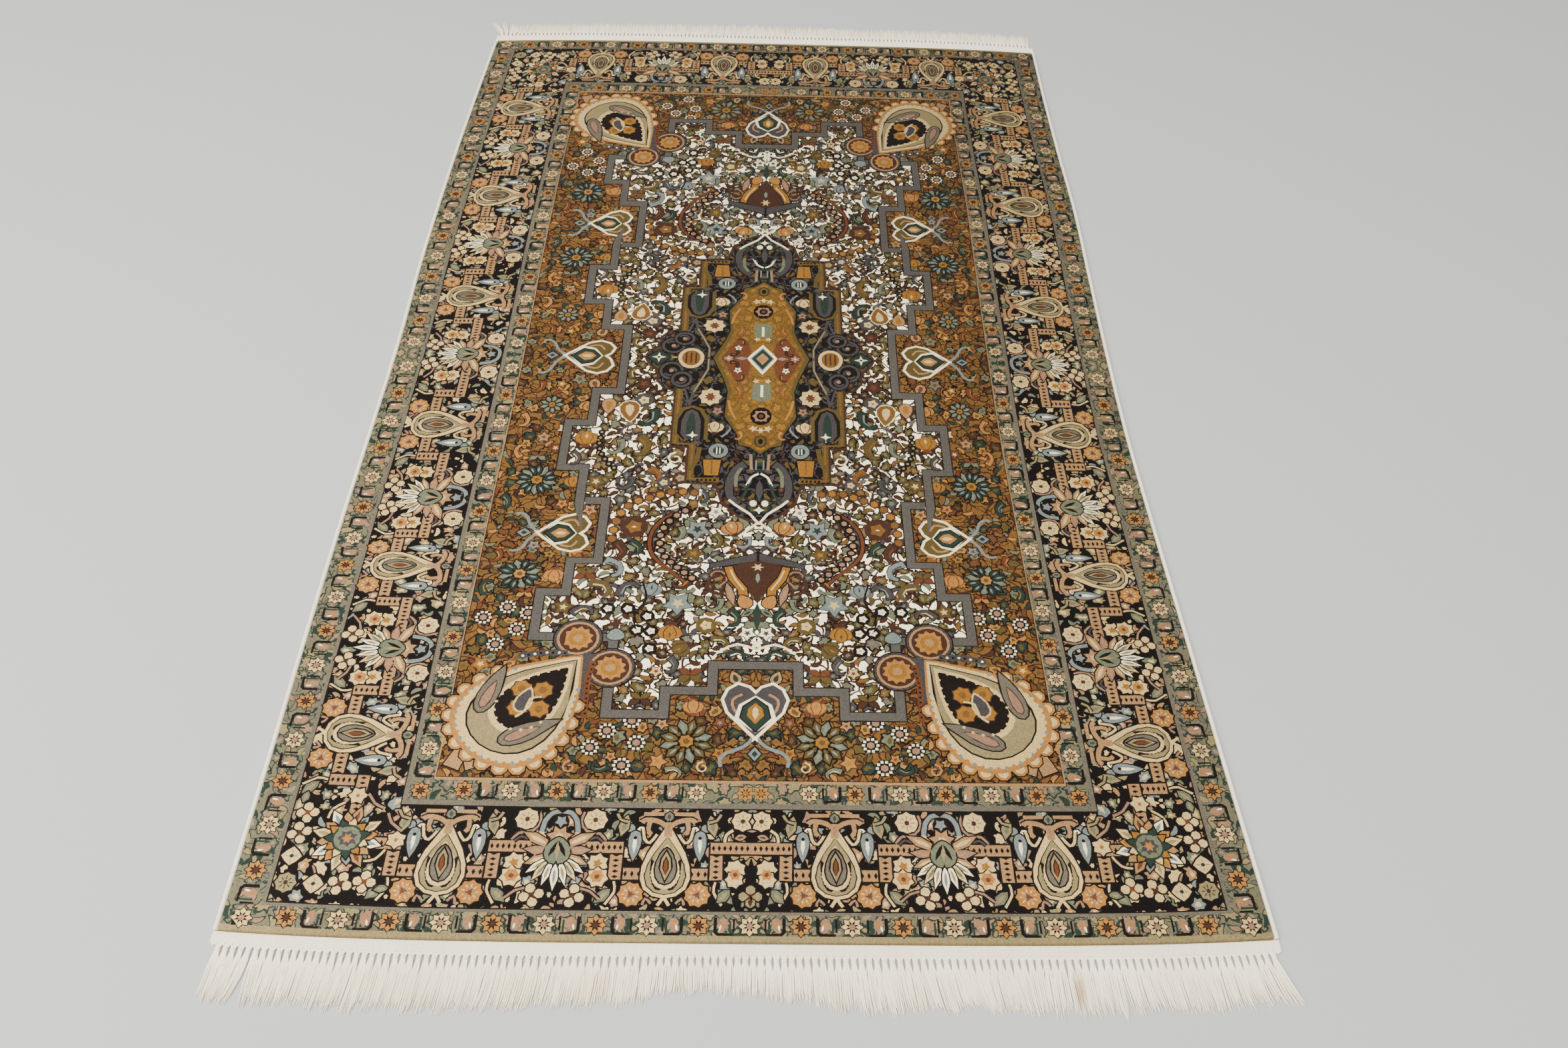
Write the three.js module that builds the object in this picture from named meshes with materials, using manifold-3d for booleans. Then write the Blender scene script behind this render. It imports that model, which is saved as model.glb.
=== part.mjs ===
// A hand-knotted silk rug lying flat: the pile cloth, an overcast edge down each long side,
// and at each end a flat woven heading whose warps are knotted into a fringe.
import * as THREE from "three";
import { mergeVertices } from "three/addons/utils/BufferGeometryUtils.js";
import Module from "manifold-3d";

// Sizes in millimetres: X across the rug, Y along it from the near end, Z up from the floor
const PILE_WIDTH = 746;
const PILE_LENGTH = 1250;
const PILE_THICKNESS = 5;
const PILE_ROUNDING = 0.8;
const EDGE_WIDTH = 4.5;
const EDGE_THICKNESS = 4.4;
const HEADING_THICKNESS = 1.8;
const GAP = 0.3;
const LOCKS_PER_END = 138;
const ROOT_SUNK = 2;
const LENGTH_JITTER = 2;
const LEAN_JITTER = 0.5;
const SEED = 20;

// How many steps the outline and the long pieces take along a side and along an end
const SIDE_STEPS = 30;
const END_STEPS = 16;

// The long sides stray from straight: outwards is positive, by the distance from the near end
const SIDE_STRAY = [
  { along: 0, left: 0.5, right: 1 },
  { along: 125, left: 1.2, right: -2.3 },
  { along: 250, left: 3.3, right: -5 },
  { along: 375, left: 4.6, right: -8 },
  { along: 500, left: 4.6, right: -10 },
  { along: 625, left: 5.5, right: -8 },
  { along: 750, left: 9.3, right: -4.3 },
  { along: 875, left: 10.5, right: -0.4 },
  { along: 1000, left: 10.1, right: -0.8 },
  { along: 1125, left: 8, right: 0 },
  { along: 1250, left: 4.9, right: 2.3 },
];

// Each end bows outwards in the middle and may lie a little askew. The fringe rows give,
// by a lock's number from the left, how far it reaches and how far its tip leans to the right.
const NEAR_END = {
  side: -1,
  bow: 6,
  skew: 0.5,
  heading: 10,
  fringe: [
    { lock: 0, reach: 37, lean: -3 },
    { lock: 4, reach: 38, lean: -7 },
    { lock: 5, reach: 38, lean: -1 },
    { lock: 22, reach: 40, lean: -4 },
    { lock: 40, reach: 37, lean: -5 },
    { lock: 52, reach: 33, lean: -2 },
    { lock: 61, reach: 24, lean: 0 },
    { lock: 68, reach: 25, lean: 0 },
    { lock: 76, reach: 32, lean: 2 },
    { lock: 84, reach: 38, lean: 4 },
    { lock: 97, reach: 37, lean: 8 },
    { lock: 109, reach: 39, lean: 1 },
    { lock: 110, reach: 40, lean: 3 },
    { lock: 116, reach: 40, lean: 1 },
    { lock: 117, reach: 39, lean: 4.5 },
    { lock: 130, reach: 36, lean: 3 },
    { lock: 137, reach: 35, lean: 12 },
  ],
};
const FAR_END = {
  side: 1,
  bow: 9,
  skew: -3,
  heading: 20,
  fringe: [
    { lock: 0, reach: 40, lean: -20 },
    { lock: 1, reach: 38, lean: -9 },
    { lock: 2, reach: 33, lean: -1 },
    { lock: 14, reach: 34, lean: -1 },
    { lock: 60, reach: 41, lean: 1 },
    { lock: 100, reach: 37, lean: 0 },
    { lock: 137, reach: 36, lean: 1 },
  ],
};

// A lock from its root in the heading, through its knot and loose belly, to its thin tip
const LOCK_RINGS = [
  { share: 0, across: 4.4, tall: 1.5 },
  { share: 0.13, across: 3, tall: 2.7 },
  { share: 0.6, across: 4.4, tall: 1.9 },
  { share: 1, across: 2.4, tall: 0.9 },
];
const LOCK_TOP_SHARE = 0.6;
const LEAN_POWER = 1.6;

// The overcast edge's section is a rounded bar with a flat base
const EDGE_SIDES = 8;

const wasm = await Module();
wasm.setup();

// Smooth curve through a table's values, by one of its columns
function curveThrough(table, at, column, x) {
  const last = table.length - 1;
  const after = table.findIndex((row) => row[at] > x);
  const i = after < 0 ? last - 1 : Math.max(after - 1, 0);
  const row = (k) => table[THREE.MathUtils.clamp(k, 0, last)];
  const slope = (k) =>
    (row(k + 1)[column] - row(k - 1)[column]) / (row(k + 1)[at] - row(k - 1)[at]);
  const span = row(i + 1)[at] - row(i)[at];
  const t = (x - row(i)[at]) / span;
  const start = row(i)[column];
  const rise = row(i + 1)[column] - start;
  const bend = (slope(i) * span - rise) * (1 - t) - (slope(i + 1) * span - rise) * t;
  return start + rise * t + t * (1 - t) * bend;
}

// Straight lines between a table's rows
function lineThrough(table, at, column, x) {
  const i = Math.max(table.findIndex((row) => row[at] >= x), 1);
  const t = (x - table[i - 1][at]) / (table[i][at] - table[i - 1][at]);
  return THREE.MathUtils.lerp(table[i - 1][column], table[i][column], t);
}

function seeded(seed) {
  let state = seed;
  return () => {
    state = (state * 16807) % 2147483647;
    return state / 2147483647;
  };
}

// The pile's side at a share of its length, before the ends' bows
function sideAt(share, side) {
  const column = side < 0 ? "left" : "right";
  const stray = curveThrough(SIDE_STRAY, "along", column, share * PILE_LENGTH);
  return side * (PILE_WIDTH / 2 + stray);
}

// The pile's end at a place across the rug
function endAt(x, end) {
  const across = x / (PILE_WIDTH / 2);
  const bow = end.bow * (1 - across ** 4);
  return end.side * (PILE_LENGTH / 2 + bow + end.skew * across);
}

// A point of the rug's plan: v from 0 at the near end to 1, at x or at a share u of the width
function alongAt(x, v) {
  return { x, y: THREE.MathUtils.lerp(endAt(x, NEAR_END), endAt(x, FAR_END), v) };
}
function onPlan(u, v) {
  return alongAt(THREE.MathUtils.lerp(sideAt(v, -1), sideAt(v, 1), u), v);
}

// Moves each vertex of a box of size 1, whose corners run from 0 to 1, to where place says
function shaped(box, place) {
  const p = box.attributes.position;
  for (let i = 0; i < p.count; i++) {
    const to = place(p.getX(i) + 0.5, p.getY(i) + 0.5, p.getZ(i) + 0.5);
    p.setXYZ(i, to.x, to.y, to.z);
  }
  return box;
}

function solidOf(geometry) {
  geometry.deleteAttribute("normal");
  geometry.deleteAttribute("uv");
  const merged = mergeVertices(geometry, 1e-4);
  return new wasm.Manifold(
    new wasm.Mesh({
      numProp: 3,
      vertProperties: merged.attributes.position.array,
      triVerts: new Uint32Array(merged.index.array),
    }),
  );
}

function geometryOf(solid) {
  const mesh = solid.getMesh();
  return new THREE.BufferGeometry()
    .setAttribute("position", new THREE.BufferAttribute(mesh.vertProperties, 3))
    .setIndex(new THREE.BufferAttribute(mesh.triVerts, 1));
}

// The knotted cloth, whose rounded rim is drawn in from the outline by the bevel
function pileGeometry() {
  const rim = [];
  for (let i = 0; i < END_STEPS; i++) rim.push(onPlan(i / END_STEPS, 0));
  for (let i = 0; i < SIDE_STEPS; i++) rim.push(onPlan(1, i / SIDE_STEPS));
  for (let i = END_STEPS; i > 0; i--) rim.push(onPlan(i / END_STEPS, 1));
  for (let i = SIDE_STEPS; i > 0; i--) rim.push(onPlan(0, i / SIDE_STEPS));
  const outline = new THREE.Shape(rim.map((p) => new THREE.Vector2(p.x, p.y)));
  return new THREE.ExtrudeGeometry(outline, {
    depth: PILE_THICKNESS - 2 * PILE_ROUNDING,
    bevelThickness: PILE_ROUNDING,
    bevelSize: PILE_ROUNDING,
    bevelOffset: -PILE_ROUNDING,
    bevelSegments: 2,
  }).translate(0, 0, PILE_ROUNDING);
}

// A round bar laid along one long side: a many-sided section carried down the pile's edge
function edgeGeometry(side) {
  const bar = new THREE.CylinderGeometry(1, 1, 1, EDGE_SIDES, SIDE_STEPS);
  bar.rotateY(Math.PI / EDGE_SIDES);
  const reach = Math.cos(Math.PI / EDGE_SIDES);
  const p = bar.attributes.position;
  for (let i = 0; i < p.count; i++) {
    const v = p.getY(i) + 0.5;
    const middle = sideAt(v, side) + side * (GAP + EDGE_WIDTH / 2);
    const at = alongAt(middle + (p.getX(i) / reach) * (EDGE_WIDTH / 2), v);
    p.setXYZ(i, at.x, at.y, (EDGE_THICKNESS / 2) * (1 + p.getZ(i) / reach));
  }
  return bar;
}

// The heading: a thin flat-woven strip beyond the pile, as wide as the rug with its edges
function headingGeometry(end) {
  const outer = GAP + EDGE_WIDTH;
  const share = end.side < 0 ? 0 : 1;
  const left = sideAt(share, -1) - outer;
  const right = sideAt(share, 1) + outer;
  return shaped(new THREE.BoxGeometry(1, 1, 1, END_STEPS, 1, 1), (u, v, w) => {
    const x = THREE.MathUtils.lerp(left, right, u);
    const beyond = GAP + end.heading * (end.side < 0 ? 1 - v : v);
    return { x, y: endAt(x, end) + end.side * beyond, z: w * HEADING_THICKNESS };
  });
}

// One lock of knotted warps, four-sided, flat on the floor from root to tip
function lockGeometry(end, number, random) {
  const share = end.side < 0 ? 0 : 1;
  const u = (number + 0.5) / LOCKS_PER_END;
  const root = THREE.MathUtils.lerp(sideAt(share, -1), sideAt(share, 1), u);
  const start = Math.abs(endAt(root, end)) + GAP + end.heading - ROOT_SUNK;
  const jitter = LENGTH_JITTER * (2 * random() - 1);
  const reach = lineThrough(end.fringe, "lock", "reach", number) + jitter + ROOT_SUNK;
  const sway = LEAN_JITTER * (2 * random() - 1);
  const lean = lineThrough(end.fringe, "lock", "lean", number) + sway;
  const steps = LOCK_RINGS.length - 1;
  return shaped(new THREE.BoxGeometry(1, 1, 1, 1, steps, 1), (u, v, w) => {
    const ring = LOCK_RINGS[Math.round(steps * (end.side < 0 ? 1 - v : v))];
    const width = ring.across * (w > 0.5 ? LOCK_TOP_SHARE : 1);
    return {
      x: root + lean * ring.share ** LEAN_POWER + (u - 0.5) * width,
      y: end.side * (start + reach * ring.share),
      z: w * ring.tall,
    };
  });
}

function fringeGeometry(end) {
  const random = seeded(SEED + end.side);
  let fringe = solidOf(headingGeometry(end));
  for (let number = 0; number < LOCKS_PER_END; number++) {
    fringe = fringe.add(solidOf(lockGeometry(end, number, random)));
  }
  return geometryOf(fringe);
}

function piece(name, geometry, color, roughness) {
  const material = new THREE.MeshStandardMaterial({ color, roughness, metalness: 0 });
  const mesh = new THREE.Mesh(geometry, material);
  mesh.name = name;
  return mesh;
}

const rug = new THREE.Group();
rug.add(piece("pile_cloth", pileGeometry(), "#8a6f45", 0.55));
rug.add(piece("edge_left", edgeGeometry(-1), "#e8dfcb", 0.8));
rug.add(piece("edge_right", edgeGeometry(1), "#e6dcc6", 0.8));
rug.add(piece("fringe_near", fringeGeometry(NEAR_END), "#ece6d6", 0.75));
rug.add(piece("fringe_far", fringeGeometry(FAR_END), "#eee8d8", 0.75));

// The origin is the middle of the rug's box, on the floor
const middle = new THREE.Box3().setFromObject(rug).getCenter(new THREE.Vector3());
rug.position.set(-middle.x, -middle.y, 0);

export default rug;
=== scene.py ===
import cmath
import math
import random
from contextlib import contextmanager

import bmesh
import bpy
import numpy as np
from bpy.props import FloatProperty, FloatVectorProperty, IntProperty, PointerProperty
from mathutils import Matrix, Vector
from mathutils.geometry import convex_hull_2d, delaunay_2d_cdt


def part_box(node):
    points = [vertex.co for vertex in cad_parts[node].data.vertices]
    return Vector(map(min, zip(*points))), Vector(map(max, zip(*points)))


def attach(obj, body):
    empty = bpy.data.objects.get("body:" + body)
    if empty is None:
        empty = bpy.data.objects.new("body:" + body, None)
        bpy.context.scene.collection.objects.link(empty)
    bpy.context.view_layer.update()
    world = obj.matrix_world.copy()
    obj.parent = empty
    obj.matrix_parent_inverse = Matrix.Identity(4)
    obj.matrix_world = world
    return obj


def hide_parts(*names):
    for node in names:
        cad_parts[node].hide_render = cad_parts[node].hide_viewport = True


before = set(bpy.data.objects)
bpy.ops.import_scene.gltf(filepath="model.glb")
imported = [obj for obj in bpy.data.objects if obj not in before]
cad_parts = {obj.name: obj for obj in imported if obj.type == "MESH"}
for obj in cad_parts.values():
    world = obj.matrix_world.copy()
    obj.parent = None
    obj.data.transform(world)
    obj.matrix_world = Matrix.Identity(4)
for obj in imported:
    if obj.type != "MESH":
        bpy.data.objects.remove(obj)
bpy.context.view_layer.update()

bl_info = {
    "name": "Silk Rug",
    "version": (1, 0, 0),
    "blender": (4, 5, 0),
    "location": "3D View > Sidebar > Rug",
    "description": "A hand-knotted silk rug with a medallion, flowered borders and knotted fringes",
    "category": "Object",
}

# The plan, in millimetres: X across the rug and Y along it from its middle, away from the near end
MM = 0.001
PILE_WIDTH = 746
PILE_LENGTH = 1250
PILE_THICKNESS = 5
EDGE_WIDTH = 4.5
GAP = 0.3
LOCKS_PER_END = 138
END_STEPS = 16
SIDE_STEPS = 30

# How far each long side strays outwards: distance from the near end, left side, right side
SIDE_STRAY = [
    (0, 0.5, 1),
    (125, 1.2, -2.3),
    (250, 3.3, -5),
    (375, 4.6, -8),
    (500, 4.6, -10),
    (625, 5.5, -8),
    (750, 9.3, -4.3),
    (875, 10.5, -0.4),
    (1000, 10.1, -0.8),
    (1125, 8, 0),
    (1250, 4.9, 2.3),
]

# Each end's place, bow, skew and heading, and its fringe: lock number, reach, lean of the tip to the right
NEAR_END = {
    "name": "near", "side": -1, "share": 0, "bow": 6, "skew": 0.5, "heading": 10,
    "fringe": [
        (0, 37, -3), (4, 38, -7), (5, 38, -1), (22, 40, -4), (40, 37, -5), (52, 33, -2),
        (61, 24, 0), (68, 25, 0), (76, 32, 2), (84, 38, 4), (97, 37, 8), (109, 39, 1),
        (110, 40, 3), (116, 40, 1), (117, 39, 4.5), (130, 36, 3), (137, 35, 12),
    ],
}
FAR_END = {
    "name": "far", "side": 1, "share": 1, "bow": 9, "skew": -3, "heading": 20,
    "fringe": [
        (0, 40, -20), (1, 38, -9), (2, 33, -1), (14, 34, -1), (60, 41, 1), (100, 37, 0), (137, 36, 1),
    ],
}

# The design's own plan: half sizes of the nested bands, and the guards' middle lines, from the rim inwards
HALF_WIDTH = PILE_WIDTH / 2
HALF_LENGTH = PILE_LENGTH / 2
GUARD_OUT = (359, 613)
BORDER_OUT = (344, 601)
BORDER_IN = (265, 519)
GUARD_IN = (253, 505.5)
FIELD = (243, 494)
CORNER_FLOWER = 299 + 549j
VINE_RIM = 2.2

# The design is cut up tile by tile, then its finest bits are merged, in millimetres
TILES_ACROSS = 7
TILES_ALONG = 11
LEAST_PATCH = 0.05
LONGEST_LINE = 30
HALF_A_KNOT = 0.55
CLOSEST = 1e-4
WELD = 0.01
SLIVER = 0.005
FLOODED = 0.1
NEARLY_STRAIGHT = 0.12
ATTEMPTS = 4
MENDINGS = 3
POINT_STRAY = 0.03

# The pile's rim, from its last knots: steps outwards and up, and how far in it reaches
RIM = 0.8
RIM_STEPS = ((0.55, -0.25), (0.25, -0.55), (0, -3.2), (-0.3, -1.0))
RIM_REACH = 1.2

# The weaver's rows drift along the rug: design distance from the middle, drift as a share of length
DRIFT = [
    (0, -0.0207), (60, -0.0239), (90, -0.0248), (220, -0.0248), (247, -0.024), (280, -0.0186),
    (350, -0.015), (425, -0.01), (470, -0.0075), (596, -0.002), (625, 0),
]

# Where the design's axis was woven: distance from the near end, place to the right of the middle
AXIS = [
    (0, 0), (85, 0.5), (143, 1.4), (433, 1.4), (600, 2.4), (900, 2.9), (1000, 3.8), (1187, 6.6), (1250, 7),
]

# The dyed silks, in sRGB
DYES = {
    "night": "#100c0a",  # ground of the main border
    "dusk": "#130f0e",  # ground of the medallion
    "ink": "#16100c",  # outlines
    "ash": "#595142",  # plain strips
    "lichen": "#5e5741",  # ground of the guard borders
    "straw": "#7b6b46",  # plain end strips
    "slate": "#48433c",  # the stepped band
    "peach": "#8b6741",  # ladders and pods
    "cream": "#b69962",  # flowers
    "apricot": "#91612d",  # orange flowers
    "rust": "#56301c",  # red browns
    "gold": "#80551e",  # golds
    "honey": "#6b4a18",  # ground of the medallion's heart
    "ochre": "#65441f",  # ochres
    "field": "#63441f",  # ground of the field
    "ivory": "#fff2c6",  # ground round the medallion
    "olive": "#4b3d1e",  # olive browns
    "teal": "#222c23",  # dark greens
    "mist": "#656a63",  # blue greys
    "sage": "#595b45",  # grey greens
    "plum": "#393432",  # mauve greys
    "white": "#dccda2",  # whites
    "brown": "#382318",  # browns
    "pink": "#7e5e48",  # pinks
}

# Small leaves and flowers that fill a ground: its number, their dyes, outline and vine
FILLINGS = {
    "ivory": (1, ["olive", "brown", "sage", "ash", "brown", "olive", "plum", "ochre"], "ink", "brown"),
    "field": (2, ["apricot", "rust", "olive", "ochre", "teal", "ochre", "sage", "brown"], "ink", "brown"),
    "night": (3, ["straw", "peach", "cream", "sage", "night", "pink", "night", "mist"], "night", "night"),
    "lichen": (4, ["teal", "ash", "straw", "ash", "pink", "straw"], "teal", "lichen"),
    "dusk": (5, ["plum", "teal", "olive", "dusk", "brown", "plum"], "dusk", "plum"),
    "honey": (6, ["ochre", "honey", "gold", "ochre", "gold", "honey"], "olive", "ochre"),
}

# The filling's figures, in millimetres: pitch, curl, half sizes and, for flowers, petals
LEAVES = (10, 0.07, (5.0, 1.9))
FLOWERS = (15.5, 0, (4.4, 4.0), 6)
PETAL_DEPTH = 0.16
RIM_AT = 1.35
HEART_AT = 0.45
VINE_PITCH = 13
VINE_WIDTH = 0.07
SWAY_PITCH = 14
SWAY = (9, 9, 0)

# The yarns' patterns, in millimetres. Knots and twist are drawn coarser than real ones, so that they show:
# nine twists to a centimetre, and nine broad patches of shade to a metre
KNOT = 1.1
TWIST = 10 / 9
SHADE_PATCH = 1000 / 9
SOIL_PATCH = 40
SOILED = (0.86, 0.82, 0.74, 1)

# The stain on the near fringe: its place, how much slimmer across, and where it fades, in millimetres
STAIN_AT = (230, -662, 1)
STAIN_SLIM = 3
STAIN_REACH = (4, 17)
STAIN_TAN = "#b08a55"

YARN_WHITE = "#fdf4d8"
YARN_CREAM = "#f2e9d0"
FLOOR_PALE = "#a9a8a5"
ROOM_GREY = "#e9ecf0"

# The overcast edge: pitch of its turns, how far its grooves go in, how its turns vary and how they slant
TURN_PITCH = 1.1
TURN_SIDES = 10
TURN_GROOVE = 0.84
TURN_VARIES = (0.975, 1.015)
TURN_SLANT = 0.9
TURN_CLEAR = 0.05

# The headings, in millimetres: pitch of the wefts, height, ribs, insets, and the outer edge along a lock
WEFT_PITCH = 0.8
HEADING_TOP = 1.45
HEADING_RIBS = (-0.05, 0.22)
HEADING_WOBBLE = 0.12
HEADING_INSET = 0.6
HEADING_SHORT = 1.2
HEADING_EDGE = (-0.9, 0.1, 0.9, 0.1)

# The fringe's locks, in millimetres: where their yarns start and are knotted, their widths and their strays
ROOT_INSIDE = 1.6
KNOT_AT = 3.4
NECK_BEFORE = 2.2
NECK_AFTER = 2.3
YARN_STEPS = (0, 0.5, 1, 1.5, 2.4, 3.6, 5, 6.6, 8)
YARN_TIP = (0.82, 1.0)
YARN_SPREAD = (0.95, 1.25)
YARN_LOW = 0.38
REACH_STRAYS = (-3, 2.4)
LEAN_STRAYS = 1.4
LEAN_BENDS = 1.6
WINDINGS = 2
WINDING_STEPS = 12

# The lamps: name, place and size in metres, power in watts
LAMPS = (
    ("window", (-1.9, -0.9, 2.0), 2.2, 150),
    ("fill", (1.6, -1.8, 2.4), 2.5, 50),
    ("top", (0.0, -0.5, 3.0), 3.0, 80),
)

# The camera: its place on the plan, its turns in degrees and its lens, all in millimetres
EYE_AT = (7.58, -912.94, 807.71)
EYE_TURNS = ((-1.467, "Z"), (39.622, "X"), (1.88, "Z"))
EYE_LENS = 26.02


def linear(hex_colour):
    """An sRGB hex colour as linear red, green, blue and alpha."""
    parts = [int(hex_colour[i : i + 2], 16) / 255 for i in (1, 3, 5)]
    return tuple(p / 12.92 if p <= 0.04045 else ((p + 0.055) / 1.055) ** 2.4 for p in parts) + (1,)


# Plan of the rug


def curve_through(rows, column, x):
    """Smooth curve through a table's column, by the value in its first column."""
    last = len(rows) - 1
    i = min(max(next((k for k, row in enumerate(rows) if row[0] > x), last) - 1, 0), last - 1)

    def row(k):
        return rows[min(max(k, 0), last)]

    def slope(k):
        return (row(k + 1)[column] - row(k - 1)[column]) / (row(k + 1)[0] - row(k - 1)[0])

    span = row(i + 1)[0] - row(i)[0]
    t = (x - row(i)[0]) / span
    rise = row(i + 1)[column] - row(i)[column]
    bend = (slope(i) * span - rise) * (1 - t) - (slope(i + 1) * span - rise) * t
    return row(i)[column] + rise * t + t * (1 - t) * bend


def line_through(rows, column, x):
    """Straight lines between a table's rows."""
    return float(np.interp(x, [r[0] for r in rows], [r[column] for r in rows]))


def side_at(v, side):
    """The pile's side at a share v of its length."""
    return side * (HALF_WIDTH + curve_through(SIDE_STRAY, 1 if side < 0 else 2, v * PILE_LENGTH))


def end_at(x, end):
    """The pile's end at a place across the rug."""
    across = x / HALF_WIDTH
    return end["side"] * (HALF_LENGTH + end["bow"] * (1 - across**4) + end["skew"] * across)


def along_at(x, v):
    """A point of the plan: its x, and how far along it is at a share v of the length there."""
    near = end_at(x, NEAR_END)
    return x, near + (end_at(x, FAR_END) - near) * v


def on_plan(u, v):
    """A point of the plan: u from 0 on the left to 1, v from 0 at the near end to 1."""
    left = side_at(v, -1)
    return along_at(left + (side_at(v, 1) - left) * u, v)


def pile_corner():
    """The lowest x and y of the pile's outline, in the plan's millimetres."""
    rim = [on_plan(i / END_STEPS, 0) for i in range(END_STEPS + 1)]
    rim += [on_plan(0, i / SIDE_STEPS) for i in range(SIDE_STEPS + 1)]
    return min(p[0] for p in rim), min(p[1] for p in rim)


PLAN_ORIGIN = [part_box("pile_cloth")[0][k] - MM * pile_corner()[k] for k in (0, 1)]


def placed_at(x, y, z):
    """A point of the plan, in millimetres, as metres in the shared frame."""
    return PLAN_ORIGIN[0] + MM * x, PLAN_ORIGIN[1] + MM * y, MM * z


def woven_at(x, h):
    """Where points of the design, across and along from its middle, were woven on the plan: arrays."""
    v = 0.5 + h / PILE_LENGTH + np.interp(abs(h), *zip(*DRIFT))
    rows = np.linspace(0, 1, PILE_LENGTH // 2)
    axis = np.interp(v, rows, [curve_through(AXIS, 1, row * PILE_LENGTH) for row in rows])
    left, right = (np.interp(v, rows, [side_at(row, side) for row in rows]) for side in (-1, 1))
    return along_at(axis + abs(x / HALF_WIDTH) * (np.where(x > 0, right, left) - axis), v)


# Shapes of the design: a point is a complex number, across the rug and along it, in millimetres


def oval(centre, across, along, sides):
    """A round shape of half sizes across and along."""
    steps = [math.tau * (i + 0.5) / sides for i in range(sides)]
    return [centre + complex(across * math.cos(a), along * math.sin(a)) for a in steps]


def dot(centre, radius, sides=6):
    """A round of straight sides."""
    return oval(centre, radius, radius, sides)


def star(centre, radius, inner, points, turn=0):
    """A scalloped or pointed round, between two radii."""
    step = math.pi / points
    return [
        centre + cmath.rect(inner if i % 2 else radius, turn + i * step) for i in range(2 * points)
    ]


def lance(base, tip, width):
    """A pointed leaf or petal."""
    axis = tip - base
    side = 0.5j * width * axis / abs(axis)
    return [
        base, base + 0.25 * axis + 0.8 * side, base + 0.6 * axis + side,
        tip, base + 0.6 * axis - side, base + 0.25 * axis - 0.8 * side,
    ]


def drop(tip, foot, width, sides, pointed):
    """A teardrop, pointed at its tip and round at its foot."""
    axis = foot - tip
    side = 0.69j * width * axis / abs(axis)
    steps = [math.tau * i / sides for i in range(sides)]
    return [
        tip + axis * (1 - math.cos(a)) / 2 + side * math.sin(a) * math.sin(a / 2) ** pointed
        for a in steps
    ]


def curve(points):
    """A smooth line through points, with one more between each two."""
    ends = [2 * points[0] - points[1], *points, 2 * points[-1] - points[-2]]
    line = []
    for a, b, c, d in zip(ends, ends[1:], ends[2:], ends[3:]):
        for t in (0, 0.5):
            line.append(
                0.5 * (2 * b + (c - a) * t + (2 * a - 5 * b + 4 * c - d) * t**2
                       + (3 * b - a - 3 * c + d) * t**3)
            )
    return [*line, points[-1]]


def spiral(centre, radius, turns, start, inner):
    """The line of a curl that winds in to its centre."""
    steps = max(int(abs(turns) * 9), 4)
    return [
        centre + cmath.rect(radius * (1 - (1 - inner) * i / steps), start + math.tau * turns * i / steps)
        for i in range(steps + 1)
    ]


def ribbon(points, width, taper):
    """A line given a width, which may taper to its end."""
    sides = []
    last = len(points) - 1
    for i, p in enumerate(points):
        way = points[min(i + 1, last)] - points[max(i - 1, 0)]
        sides.append(0.5j * width * (1 + (taper - 1) * i / last) * way / (abs(way) or 1))
    return [p + s for p, s in zip(points, sides)] + [p - s for p, s in zip(points[::-1], sides[::-1])]


def turning(points):
    """Twice the area inside an outline, negative where it runs clockwise."""
    return sum((points[i - 1].conjugate() * points[i]).imag for i in range(len(points)))


def grown(points, width):
    """An outline moved outwards all round."""
    n = len(points)
    out = -1j if turning(points) > 0 else 1j
    moved = []
    for i, p in enumerate(points):
        before, after = p - points[i - 1], points[(i + 1) % n] - p
        a, b = (out * w / (abs(w) or 1) for w in (before, after))
        flat = max(1 + (a.conjugate() * b).real, 0.35)
        moved.append(p + width * (a + b) / flat)
    return moved


def clipped(points, normal, reach):
    """The part of an outline that lies on one side of a line."""
    kept = []
    heights = [(p.conjugate() * normal).real - reach for p in points]
    for i, p in enumerate(points):
        a, b = heights[i - 1], heights[i]
        if (a < 0) != (b < 0):
            kept.append(points[i - 1] + (p - points[i - 1]) * a / (a - b))
        if b >= 0:
            kept.append(p)
    return kept


class Chart:
    """The design's far right quarter, as dyed shapes that each lie over the ones before."""

    def __init__(self):
        self.shapes = []
        self.frame = lambda z: z

    @contextmanager
    def placed(self, origin, turn=1, flip=False):
        """Shapes laid inside are moved to origin and turned, and mirrored left to right first."""
        outer = self.frame
        self.frame = lambda z: outer(origin + turn * (-z.conjugate() if flip else z))
        yield
        self.frame = outer

    def both(self):
        """Runs a block twice, as drawn and mirrored left to right."""
        for flip in (False, True):
            with self.placed(0, 1, flip):
                yield

    def lay(self, points, dye):
        """One shape of one dye, over all that was laid before."""
        self.shapes.append(([self.frame(z) for z in points], dye))

    def edged(self, points, dye, rim="ink", width=1.1):
        """A shape with an outline round it."""
        self.lay(grown(points, width), rim)
        self.lay(points, dye)

    def line(self, points, width, dye, taper=1.0):
        """A line of some width, which may taper to its end."""
        self.lay(ribbon(points, width, taper), dye)

    def stem(self, points, width, dye, taper=1.0):
        """A smooth line through points."""
        self.line(curve(points), width, dye, taper)

    def vine(self, points, width, dye):
        """A stem with a dark line under it."""
        self.stem(points, width + VINE_RIM, "ink")
        self.stem(points, width, dye)

    def frame_band(self, size, dye):
        """A rectangle centred on the rug's middle, by its half sizes."""
        x, h = size
        self.lay([complex(-1, -1), complex(x, -1), complex(x, h), complex(-1, h)], dye)


# Motifs


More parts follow.
